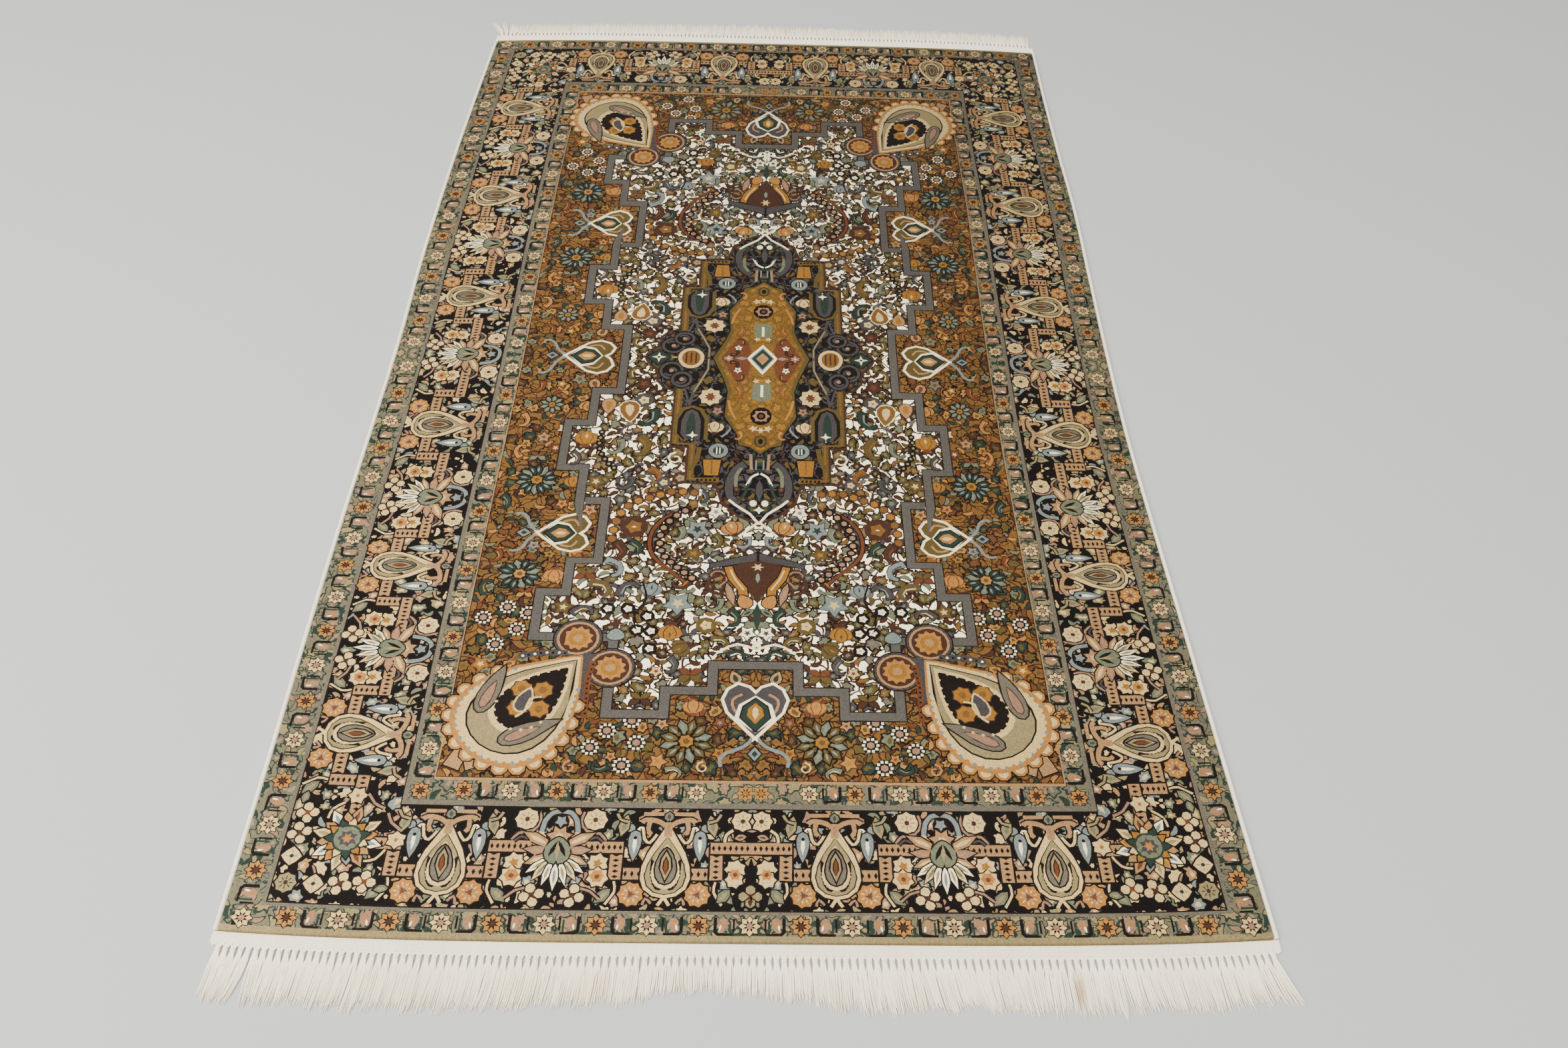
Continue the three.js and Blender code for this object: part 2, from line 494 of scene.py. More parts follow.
def daisy(c, z, r, dye, heart, rim="teal", petals=8, fat=0.6):
    """A round flower of separate petals, each edged by the rim's dye."""
    c.lay(star(z, r + 0.9, 0.8 * r, petals), rim)
    for k in range(petals):
        turn = math.tau * k / petals
        c.lay(chip(z + 0.64 * r * cmath.rect(1, turn), 0.36 * r, turn, 0.75 * fat / 0.6), dye)
    c.lay(dot(z, 0.34 * r), heart)


def bloom(c, z, r, dye, heart, petals, spot=None, notch=0.86):
    """A full flower with a scalloped edge and a round heart."""
    c.lay(star(z, r + 1.6, (r + 1.6) * notch, petals), "ink")
    c.lay(star(z, r, r * notch, petals), dye)
    if spot:
        for k in range(petals):
            way = cmath.rect(1, math.tau * k / petals)
            c.lay(lance(z + 0.25 * r * way, z + 0.72 * r * way, 0.12 * r), spot)
    c.lay(dot(z, 0.22 * r), heart)


def beaded(c, z, r, beads):
    """A small dark flower with a pink heart, ringed with pale beads."""
    c.lay(dot(z, r, 10), "ink")
    for k in range(beads):
        c.lay(dot(z + cmath.rect(0.72 * r, math.tau * k / beads), 0.2 * r, 4), "white")
    c.lay(dot(z, 0.42 * r), "pink")


def leaf(c, base, tip, width, dye, core=None):
    """A pointed leaf with an outline and a vein."""
    c.edged(lance(base, tip, width), dye, width=1.0)
    if core:
        c.lay(lance(base + 0.2 * (tip - base), base + 0.8 * (tip - base), 0.4 * width), core)


def chain(c, points, r, pitch, dyes):
    """Beads set along a line."""
    left = 0.0
    n = 0
    for a, b in zip(points, points[1:]):
        while left < abs(b - a):
            c.lay(dot(a + (b - a) * left / abs(b - a), r), dyes[n % len(dyes)])
            left += pitch
            n += 1
        left -= abs(b - a)


# Guard borders


def guard_bud(c, z, up):
    """A pink bud under a dark bracket, with two bars beside it."""
    with c.placed(z, 1, not up):
        c.line([-7 - 5.5j, -7 + 4.5j], 1.5, "ink")
        c.line([-4.4 - 4j, -4.4 + 6j], 1.5, "teal")
        c.lay([
            -6.4 + 7.6j, 4.8 + 7.6j, 7.4 + 5j, 7.4 - 6.4j, 5 - 6.8j, 5 + 3.8j, 3.4 + 5.4j, -6.4 + 5.6j,
        ], "ink")
        c.lay(drop(1 + 5j, 0.4 - 6.4j, 6.2, 10, 0.6), "pink")
        c.lay(lance(0.2 - 5.4j, 1.4 + 2j, 2.4), "apricot")
        c.lay(lance(2.2 - 1j, 3.4 + 4j, 1.6), "white")


def guard_run(c, places, middle, r):
    """Daisies in a row, white and orange in turn, with a bud midway to each next one."""
    for k, s in enumerate(places):
        orange = k % 2
        daisy(c, complex(s, middle), r, "apricot" if orange else "cream",
              "brown" if orange else "pink", "ink")
        if k + 1 < len(places):
            guard_bud(c, complex((s + places[k + 1]) / 2, middle), not orange)


# Main border: a unit's own height runs from 0 on the field's side to 80 at the outer side


def ladder(c, points):
    """A broad peach band with a row of dark ticks along its middle."""
    c.line(points, 11.8, "ink")
    c.line(points, 9, "peach")
    for a, b in zip(points, points[1:]):
        steps = max(int(abs(b - a) / 4.2), 1)
        way = (b - a) / abs(b - a)
        for k in range(steps):
            z = a + (b - a) * (k + 0.5) / steps
            c.lay(chip(z, 2.6, cmath.phase(1j * way), 0.5), "ink")


def pod_unit(c, reach):
    """A teardrop pod on a forked neck, with its hanging buds and the ladders that pass it."""
    turn_at = 0.46 * reach
    for _ in c.both():
        ladder(c, [12 + 54j, turn_at + 4.5 + 54j])
        ladder(c, [turn_at + 58.5j, turn_at + 28.5j])
        ladder(c, [turn_at - 4.5 + 33j, reach - 14 + 33j])
        # a hanging bud
        for head, dye in ((20 + 19j, "white"), (28 + 17j, "mist")):
            c.edged(dot(head, 3.4, 8), dye)
        c.edged(drop(24.5 + 44j, 24 + 19j, 9, 12, 0.9), "mist")
        c.lay(lance(24 + 22j, 24.4 + 38j, 3), "white")
        c.lay(dot(24 + 25j, 1.5), "ink")
        # the vine beside the pod
        c.vine([8 + 22j, 13 + 29j, 17 + 26j, 19 + 17j], 2.2, "cream")
        # the big outer daisy and the small pale feet
        bloom(c, 24 + 70j, 9.8, "apricot", "rust", 9, "cream", notch=0.84)
        c.lay(dot(24 + 70j, 4.4, 8), "peach")
        c.lay(star(24 + 70j, 3.6, 1.4, 6), "rust")
        c.vine([9 + 77j, 13 + 73j, 15 + 78j], 1.9, "pink")
        # bird-like leaf toward the field, and the corner vines
        leaf(c, 31 + 6j, 35 + 24j, 8, "straw", "sage")
        c.vine([30 + 12j, 36 + 10j, 39 + 5j], 2, "straw")
        leaf(c, turn_at + 2 + 66j, turn_at + 13 + 77j, 8, "sage", "straw")
        c.vine([turn_at + 60j, turn_at - 1 + 68j, turn_at + 5 + 78j], 1.8, "cream")
        # horns of the neck
        c.line([4 + 5j, 19 + 5j], 3, "peach")
        c.lay(dot(20 + 9.5j, 3), "pink")
        c.vine([21j, 3 + 14j, 10 + 10.5j, 17 + 10j, 20 + 12j], 4, "peach")
        c.vine([14 + 12j, 15 + 18j, 12.5 + 22j], 3.2, "peach")
    leaf(c, 3j, 12j, 7, "sage", "plum")
    c.edged(drop(12j, 73j, 37, 18, 1.35), "cream", "ink", 1.2)
    c.lay(drop(23j, 70.5j, 30.5, 16, 1.2), "ink")
    c.lay(drop(24j, 69.8j, 28.6, 16, 1.2), "straw")
    for _ in c.both():
        c.lay(drop(10.5 + 42j, 3.5 + 67j, 8, 12, 0.8), "ink")
        chain(c, curve([10.8 + 52j, 9.6 + 59j, 5.6 + 64j]), 0.9, 3, ["sage", "pink"])
    c.lay(drop(30j, 66j, 19, 16, 0.8), "cream")
    c.edged(drop(33j, 62j, 13, 14, 0.5), "ash")
    c.edged(lance(36j, 59j, 8), "straw", "ink", 1.2)
    c.edged(lance(41j, 55j, 3.4), "rust", "ink", 0.8)
    c.line([12j, 24j], 6, "peach")
    c.lay(lance(13j, 23j, 2.6), "pink")
    for _ in c.both():
        c.line([72j, 4.2 + 78.5j], 2.4, "cream")


def cluster(c, z, dyes, turn=1):
    """A small bunch of four rounded petals round a dark eye."""
    for way in (1, 1j, -1, -1j):
        c.edged(dot(z + 5 * way * turn, 3.7, 7), dyes[0])
    c.lay(star(z, 4.2, 1.6, 4, 0.78), dyes[1])


def palmette_unit(c):
    """An open lotus seen from the side, over a blue arch, with flowers beside it."""
    for _ in c.both():
        bloom(c, 25.5 + 10.5j, 9.3, "cream", "brown", 8, "straw")
        c.vine([17 + 4j, 15 + 12j, 20 + 20j, 30 + 22j, 35 + 28j], 2, "pink")
        c.vine([23 + 27j, 28 + 25j, 33 + 29j], 1.8, "plum")
        # the two-part flower
        c.edged(star(30.5 + 46j, 8.2, 6.2, 7, 0.4), "cream")
        c.edged(star(31.5 + 57j, 8.4, 6.4, 7, 0.2), "cream")
        c.lay(star(31 + 56j, 5.6, 4.4, 6), "apricot")
        c.lay(star(30.5 + 46j, 4, 2.2, 5), "gold")
        c.lay(dot(31 + 56.5j, 1.9), "rust")
        cluster(c, 14.5 + 71.5j, ("cream", "brown"), cmath.rect(1.1, 0.25))
        c.vine([20 + 66j, 27 + 68j, 34 + 74j], 1.8, "pink")
        # the arch
        c.vine([3.5j, 7 + 5j, 12 + 12j, 13.5 + 21j], 3.6, "mist")
        # sepals and petals, from the outermost inwards
        for petal in (
            (4 + 33j, 27 + 21j, 8, "peach", "cream"),
            (5 + 37j, 25 + 35j, 7, "pink", "peach"),
            (5 + 40j, 23 + 47j, 7, "peach", "cream"),
            (5 + 42j, 21 + 54j, 5.5, "white", "straw"),
            (4 + 43j, 16 + 60j, 5.5, "cream", "sage"),
            (3 + 44j, 8.5 + 64j, 5, "white", "straw"),
        ):
            leaf(c, *petal)
    c.lay(oval(13j, 6.5, 7, 10), "ink")
    c.lay(star(12j, 5, 3, 5, 0.3), "mist")
    c.edged(star(25j, 10, 6, 7, 1.57), "peach")
    c.lay(dot(25j, 3.2, 7), "cream")
    c.edged(drop(25j, 47j, 16, 14, 0.4), "sage")
    for way in (-0.45, 0, 0.45):
        c.lay(lance(28j, 28j + cmath.rect(15, math.pi / 2 + way), 3.2), "ink" if way else "straw")
    leaf(c, 46j, 68j, 5.6, "white", "mist")


def pair_unit(c):
    """The flowers at the middle of an end, where the ladders meet."""
    for _ in c.both():
        bloom(c, 7 + 10.5j, 8.6, "cream", "brown", 8, "straw")
        c.vine([14 + 18j, 19 + 22j, 20 + 28j], 2.2, "cream")
        c.edged(star(11.5 + 50j, 8, 6.2, 7), "cream")
        c.edged(star(12 + 58j, 7, 5.4, 7), "cream")
        c.lay(star(11.5 + 54j, 4.8, 3.4, 6), "apricot")
        c.lay(dot(11.5 + 54j, 1.8), "rust")
        leaf(c, 15 + 66j, 24 + 76j, 8, "sage", "straw")
        leaf(c, 4 + 23j, 13 + 25j, 5, "peach", "plum")
    cluster(c, 71j, ("straw", "brown"))


def corner_unit(c):
    """The great flower that turns the corner, looking outwards."""
    petals = [("peach", "apricot"), ("white", "mist"), ("apricot", "gold"), ("cream", "straw"),
              ("mist", "teal"), ("peach", "rust")]
    for k in range(16):
        way = cmath.rect(1, math.tau * (k + 0.5) / 16)
        leaf(c, 9 * way, (27 if k % 2 else 22) * way, 7.5, *petals[k % len(petals)])
    for k in range(11):
        way = cmath.rect(1, math.tau * k / 11)
        leaf(c, 6 * way, 17 * way, 6, ("teal", "gold", "cream")[k % 3])
    c.edged(dot(0, 10, 12), "sage", "teal", 1.6)
    c.lay(star(0, 7.5, 5, 7), "plum")
    c.lay(star(0, 4.4, 2.4, 6), "apricot")


def corner_flowers(c):
    """The pale square flowers and bunches round the corner flower, mirrored about the diagonal."""
    for turn, flip in ((1, False), (-1j, True)):
        with c.placed(0, turn, flip):
            bloom(c, 37 + 16j, 7.5, "cream", "teal", 4, "straw", notch=0.8)
            cluster(c, 36 - 3j, ("cream", "brown"), cmath.rect(1.1, 0.3))
            cluster(c, 34 - 20j, ("cream", "rust"), cmath.rect(1.0, 0.1))
            leaf(c, 38 - 38j, 40 - 28j, 6, "sage", "straw")
            bloom(c, 0 - 36j, 7.6, "cream", "gold", 6, notch=0.7)
            c.vine([-8 - 38j, -14 - 30j, -22 - 26j], 2, "pink")
            c.vine([8 - 30j, 16 - 24j, 18 - 16j], 1.8, "cream")
    bloom(c, 36 + 37j, 8, "straw", "brown", 8, "teal")


def along_border(c, on_side, places, unit, *sizes):
    """Draws a unit of the main border at places along the rug's side or its end."""
    for s in places:
        origin = BORDER_IN[0] + 1j * s if on_side else s + 1j * BORDER_IN[1]
        with c.placed(origin, -1j if on_side else 1, on_side):
            unit(c, *sizes)


def main_border(c):
    """Pods with palmettes between them, and the flower that turns the corner."""
    along_border(c, True, (97.5, 277.5, 457.5), pod_unit, 92)
    along_border(c, False, (62.5, 226), pod_unit, 80)
    with c.placed(CORNER_FLOWER):
        corner_flowers(c)
        corner_unit(c)
    along_border(c, True, (0, 191, 371), palmette_unit)
    along_border(c, False, (143,), palmette_unit)
    along_border(c, False, (0,), pair_unit)


def outer_guard(c):
    """The outer guard's flowers, along the side and then the end."""
    step = (HALF_LENGTH - 10) / 16.5
    with c.placed(0, -1j, True):
        guard_run(c, [step * (k + 0.5) for k in range(17)], GUARD_OUT[0], 8)
    guard_run(c, [36.4 * k for k in range(10)], GUARD_OUT[1], 8)


def inner_guard(c):
    """The inner guard's flowers, with a pair of daisies at the middle of the end."""
    step = 507 / 13.5
    with c.placed(0, -1j, True):
        guard_run(c, [step * (k + 0.5) for k in range(14)], GUARD_IN[0], 7.4)
    daisy(c, complex(6, GUARD_IN[1]), 7.2, "apricot", "gold")
    guard_run(c, [43.3 + 35.4 * k for k in range(6)], GUARD_IN[1], 7.4)


# Field: small figures, each drawn round its own origin and pointing to +h


def chip(z, r, turn=0.0, slim=0.5):
    """A small diamond."""
    way = cmath.rect(r, turn)
    return [z + way, z + 1j * slim * way, z - way, z - 1j * slim * way]


def floret(c, r, dye, heart, rim="ink"):
    """A small open flower of five petals."""
    c.edged(star(0, r, 0.55 * r, 5, 0.3), dye, rim, 0.9)
    c.lay(star(0, 0.45 * r, 0.2 * r, 5, 0.3), heart)


def blossom(c, r, dye, heart, rim="ink"):
    """A flower seen from the side: three petals over a cup."""
    for turn in (-0.8, 0.8, 0):
        way = cmath.rect(1, math.pi / 2 + turn)
        c.edged(drop(-0.5j * r, r * way, 0.85 * r, 8, 0.6), dye, rim, 0.8)
        c.lay(chip(0.45 * r * way, 0.3 * r, math.pi / 2 + turn, 0.4), heart)
    c.lay(chip(-0.6j * r, 0.45 * r), rim)


def ringed(c, r, dye, heart, rim="ink"):
    """A dark ring round a pale flower."""
    c.lay(dot(0, r, 10), rim)
    c.lay(star(0, 0.62 * r, 0.45 * r, 5), dye)
    c.lay(chip(0, 0.2 * r), heart)


def curled_leaf(c, r, dye, heart, rim="ink"):
    """A leaf that curls over at its tip."""
    c.edged(ribbon(curve([-r * 1j, -0.4 * r - 0.1j * r, 0.7j * r, 0.6 * r + 0.6j * r]), 0.7 * r, 0.3),
            dye, rim, 0.8)
    c.stem([-0.7j * r, -0.25 * r, 0.05 * r + 0.5j * r], 0.16 * r, heart, 0.4)


def butterfly(c, r, dye, heart, rim="ink"):
    """Two pairs of wings, as the weavers fill a square."""
    for _ in c.both():
        c.edged(lance(0, 1.0 * r + 0.75j * r, 0.7 * r), dye, rim, 0.8)
        c.edged(lance(0, 0.9 * r - 0.6j * r, 0.6 * r), heart, rim, 0.8)
    c.line([0.7j * r, -0.7j * r], 0.25 * r, rim)


def paisley(c, r, dye, heart, rim="ink"):
    """A small drop with a drop inside it."""
    c.edged(drop(r * 1.1j, -r * 0.9j, 1.3 * r, 12, 0.9), dye, rim, 0.9)
    c.lay(drop(r * 0.6j, -r * 0.6j, 0.6 * r, 8, 0.9), heart)


def scroll(c, r, dye, heart):
    """A curl of vine."""
    c.line(spiral(0, r, 1.1, -math.pi / 2, 0.25), 0.3 * r, dye, 0.6)
    c.lay(chip(0, 0.3 * r), heart)


def sow(c, rows):
    """Lays figures by table: figure, place, size, turn in degrees, dyes."""
    for figure, place, size, turn, *dyes in rows:
        with c.placed(place, cmath.rect(1, math.radians(turn))):
            figure(c, size, *dyes)


# The field's large figures


def stepped_ground():
    """The outline of the ivory ground, stepped round the medallion."""
    corners = [
        140 + 49j, 164 + 49j, 164 + 92j, 186 + 92j, 186 + 150j, 164 + 150j, 164 + 191j,
        140 + 191j, 140 + 267j, 164 + 267j, 164 + 306j, 186 + 306j, 186 + 354j, 119 + 354j,
        119 + 433j, 74 + 433j, 74 + 409j, 36 + 409j, 36 + 382j,
    ]
    return [-20 - 20j, 140 - 20j, *corners, -20 + 382j]


def forked_drop(c, reach, body, heart):
    """A heart-lobed drop round an almond, on a white stem that forks."""
    k = reach / 46
    half = [k * p for p in (8j, 5 + 2j, 13 - 1j, 20 + 4j, 23.5 + 13j, 20 + 24j, 11 + 34j, 3 + 43j, 46j)]
    for _ in c.both():
        c.line([k * p for p in curve([42j, 4 + 51j, 12 + 57j, 20 + 60j, 25 + 66j, 24 + 72j])], 3, "mist")
        c.lay(grown(half, 2.6), "white")
    for _ in c.both():
        c.lay(half, body)
        c.line([k * p for p in curve([10 + 8j, 17 + 13j, 16 + 22j, 9 + 31j])], 2.2, "peach")
    c.lay([k * p for p in lance(9j, 43j, 31)], "white")
    c.edged([k * p for p in lance(12j, 41j, 22)], "teal", "ink", 1.2)
    c.lay([k * p for p in lance(16j, 35j, 13)], heart)
    c.lay([k * p for p in lance(19j, 31j, 5)], "cream")
    c.edged(chip(k * 61j, 6.5, math.pi / 2, 0.8), "mist")
    c.lay(chip(k * 61j, 3.2, math.pi / 2, 0.8), "teal")


def rosette(c, r, petal, rim, heart, count):
    """A large round flower of lance petals."""
    c.lay(dot(0, 0.5 * r, 12), rim)
    for k in range(count):
        way = cmath.rect(1, math.tau * (k + 0.5) / count)
        c.edged(lance(0.3 * r * way, r * way, 0.36 * r), petal if k % 3 else "sage", rim, 1.2)
        c.lay(lance(0.45 * r * way, 0.85 * r * way, 0.1 * r), "mist")
    c.edged(star(0, 0.3 * r, 0.24 * r, 7), heart, rim, 1.0)
    c.lay(dot(0, 0.14 * r, 5), "olive")


def corner_curls(c):
    """What lies beside the corner drop: two ringed golden flowers, a leaf and its stems."""
    for z in (149 + 356j, 119.5 + 387j):
        c.edged(dot(z, 20, 20), "plum")
        for r, dye in ((17.8, "peach"), (15.6, "brown")):
            c.lay(dot(z, r, 18), dye)
        chain(c, dot(z, 18.7, 14), 0.9, 5.2, ["brown"])
        c.lay(star(z, 13.2, 10.4, 11), "apricot")
        c.lay(dot(z, 8.4, 9), "gold")
        c.lay(dot(z, 4.4, 7), "peach")
    size = 6
    middle = 118 + 352j
    c.edged(drop(middle - 1.2j * size, middle + 0.9j * size, 2.2 * size, 12, 0.7), "mist", "teal")
    c.lay(star(118 + 338j, 8, 3, 5, 1.5), "brown")
    c.stem([138 + 372j, 141 + 395j, 139 + 425j], 9, "plum")
    c.stem([134 + 380j, 137 + 400j, 136 + 438j], 5, "rust")
    chain(c, [134 + 384j, 137 + 402j, 136 + 436j], 1.1, 5, ["ink"])
    c.stem([156 + 372j, 175 + 372j, 196 + 376j], 6, "plum")
    chain(c, [158 + 372j, 175 + 372j, 194 + 376j], 1.3, 5, ["ink", "white"])


def corner_drop(c):
    """The great drop in each corner of the field: teardrops inside each other, in a scalloped edge."""
    tip = 143 + 374j
    long = 80 + 100j
    dyes = ("apricot", "cream", "ink", "straw", "cream", "ink")
    rings = [
        drop(tip + long * below, tip + long - long * above, width, 26, 1.0)
        for below, above, width in (
            (0, 0, 90), (0.02, 0.03, 83), (0.05, 0.09, 70),
            (0.06, 0.1, 67), (0.09, 0.24, 49), (0.13, 0.28, 42),
        )
    ]
    for z in rings[0][5:-5]:
        c.edged(dot(z, 6.6, 8), "apricot", "ink", 1)
        c.lay(dot(z, 4.4, 7), "cream")
    for ring, dye in zip(rings, dyes):
        c.lay(ring, dye)
    chain(c, rings[1][4:-4], 1.9, 6.5, ["mist", "apricot"])
    for start, end in ((205 + 386j, 221 + 434j), (154 + 440j, 201 + 462j)):
        way = end - start
        c.edged(drop(start, end, 15, 16, 0.9), "ash", "ink", 1.2)
        c.edged(drop(start + 0.35 * way, start + 0.9 * way, 7, 10, 0.8), "pink", "brown", 0.8)
    core = 181 + 420j
    chain(c, rings[5], 1.5, 8.5, ["cream"])
    for way in (9 + 9j, -8 + 10j, -9 - 9j, 8 - 10j):
        c.edged(star(core + way, 8.6, 7, 7), "gold", "brown", 0.9)
        c.lay(oval(core + way, 3.4, 3.8, 7), "ochre")
    c.edged(drop(core + 1 - 10j, core + 8 + 12j, 11, 12, 0.8), "plum", "cream", 1.6)
    c.stem([core - 9 - 2j, core, core + 3 + 12j, core + 10 + 18j], 2, "cream")


def field_flowers(c):
    """What grows between the ivory ground and the guard."""
    sow(c, [
        (rosette, 206 + 68j, 12, 0, "sage", "ink", "gold", 9),
        (rosette, 207 + 167j, 19, 0, "teal", "ink", "gold", 14),
        (rosette, 207 + 285j, 19, 0, "teal", "ink", "apricot", 12),
        (rosette, 54 + 459j, 21, 0, "olive", "ink", "gold", 12),
        (blossom, 171 + 67j, 9, 0, "apricot", "rust"),
        (blossom, 173 + 171j, 9, 180, "gold", "rust", "brown"),
        (blossom, 177 + 284j, 10, 0, "apricot", "gold", "rust"),
        (paisley, 167 + 40j, 8, 20, "peach", "rust"),
        (floret, 183 + 33j, 8, 0, "sage", "rust"),
        (floret, 200 + 40j, 6, 20, "gold", "cream"),
        (curled_leaf, 222 + 45j, 9, -20, "rust", "gold"),
        (curled_leaf, 230 + 90j, 9, 10, "apricot", "rust"),
        (floret, 190 + 100j, 7, 10, "cream", "rust", "brown"),
        (floret, 208 + 112j, 7, 40, "peach", "rust", "brown"),
        (floret, 195 + 126j, 7, 0, "rust", "cream", "brown"),
        (butterfly, 210 + 136j, 8, 0, "sage", "rust"),
        (curled_leaf, 228 + 130j, 9, 190, "apricot", "rust"),
        (curled_leaf, 232 + 195j, 9, 20, "teal", "sage"),
        (floret, 154 + 203j, 7, 0, "peach", "rust", "brown"),
        (floret, 180 + 196j, 6, 0, "apricot", "rust", "brown"),
        (floret, 162 + 252j, 7.5, 0, "apricot", "brown", "rust"),
        (floret, 199 + 246j, 6, 0, "mist", "rust", "brown"),
        (floret, 184 + 258j, 6, 30, "gold", "teal"),
        (curled_leaf, 230 + 262j, 9, 0, "rust", "apricot"),
        (curled_leaf, 234 + 300j, 9, 180, "teal", "gold"),
        (butterfly, 200 + 306j, 7, 0, "apricot", "rust"),
        (floret, 226 + 385j, 8, 0, "gold", "cream", "rust"),
        (blossom, 50 + 428j, 9, 180, "apricot", "gold", "rust"),
        (floret, 28 + 441j, 6.5, 0, "rust", "sage"),
        (floret, 28 + 470j, 6, 0, "gold", "rust"),
        (floret, 75 + 478j, 7.5, 15, "apricot", "gold", "brown"),
        (curled_leaf, 62 + 487j, 7, 80, "sage", "cream"),
        (curled_leaf, 120 + 484j, 7, -80, "teal", "sage"),
        (floret, 74 + 443j, 5.5, 0, "peach", "rust"),
        (floret, 112 + 474j, 5, 0, "apricot", "rust"),
        (curled_leaf, 137 + 462j, 7, 10, "sage", "gold"),
        (paisley, 17 + 396j, 7, 200, "peach", "teal"),
        (scroll, 40 + 483j, 5.5, 0, "cream", "rust"),
        (scroll, 143 + 484j, 6, 0, "peach", "teal"),
    ])
    for place in (194 + 329j, 212 + 323j, 231 + 335j, 201 + 347j, 217 + 364j,
                  98 + 440j, 117 + 450j, 129 + 466j, 93 + 461j, 103 + 482j):
        beaded(c, place, 8, 10)
    for across in (-1, 1):
        tip = complex(225 + 9 * across, 486)
        c.edged(ribbon(curve([225 + 458j, complex(225 + 3 * across, 470), tip]), 7, 1.9), "peach")
    c.lay(chip(225 + 470j, 9, math.pi / 2, 0.45), "sage")
    chain(c, [186 + 488j, 202 + 488j], 2.2, 5, ["ink"])


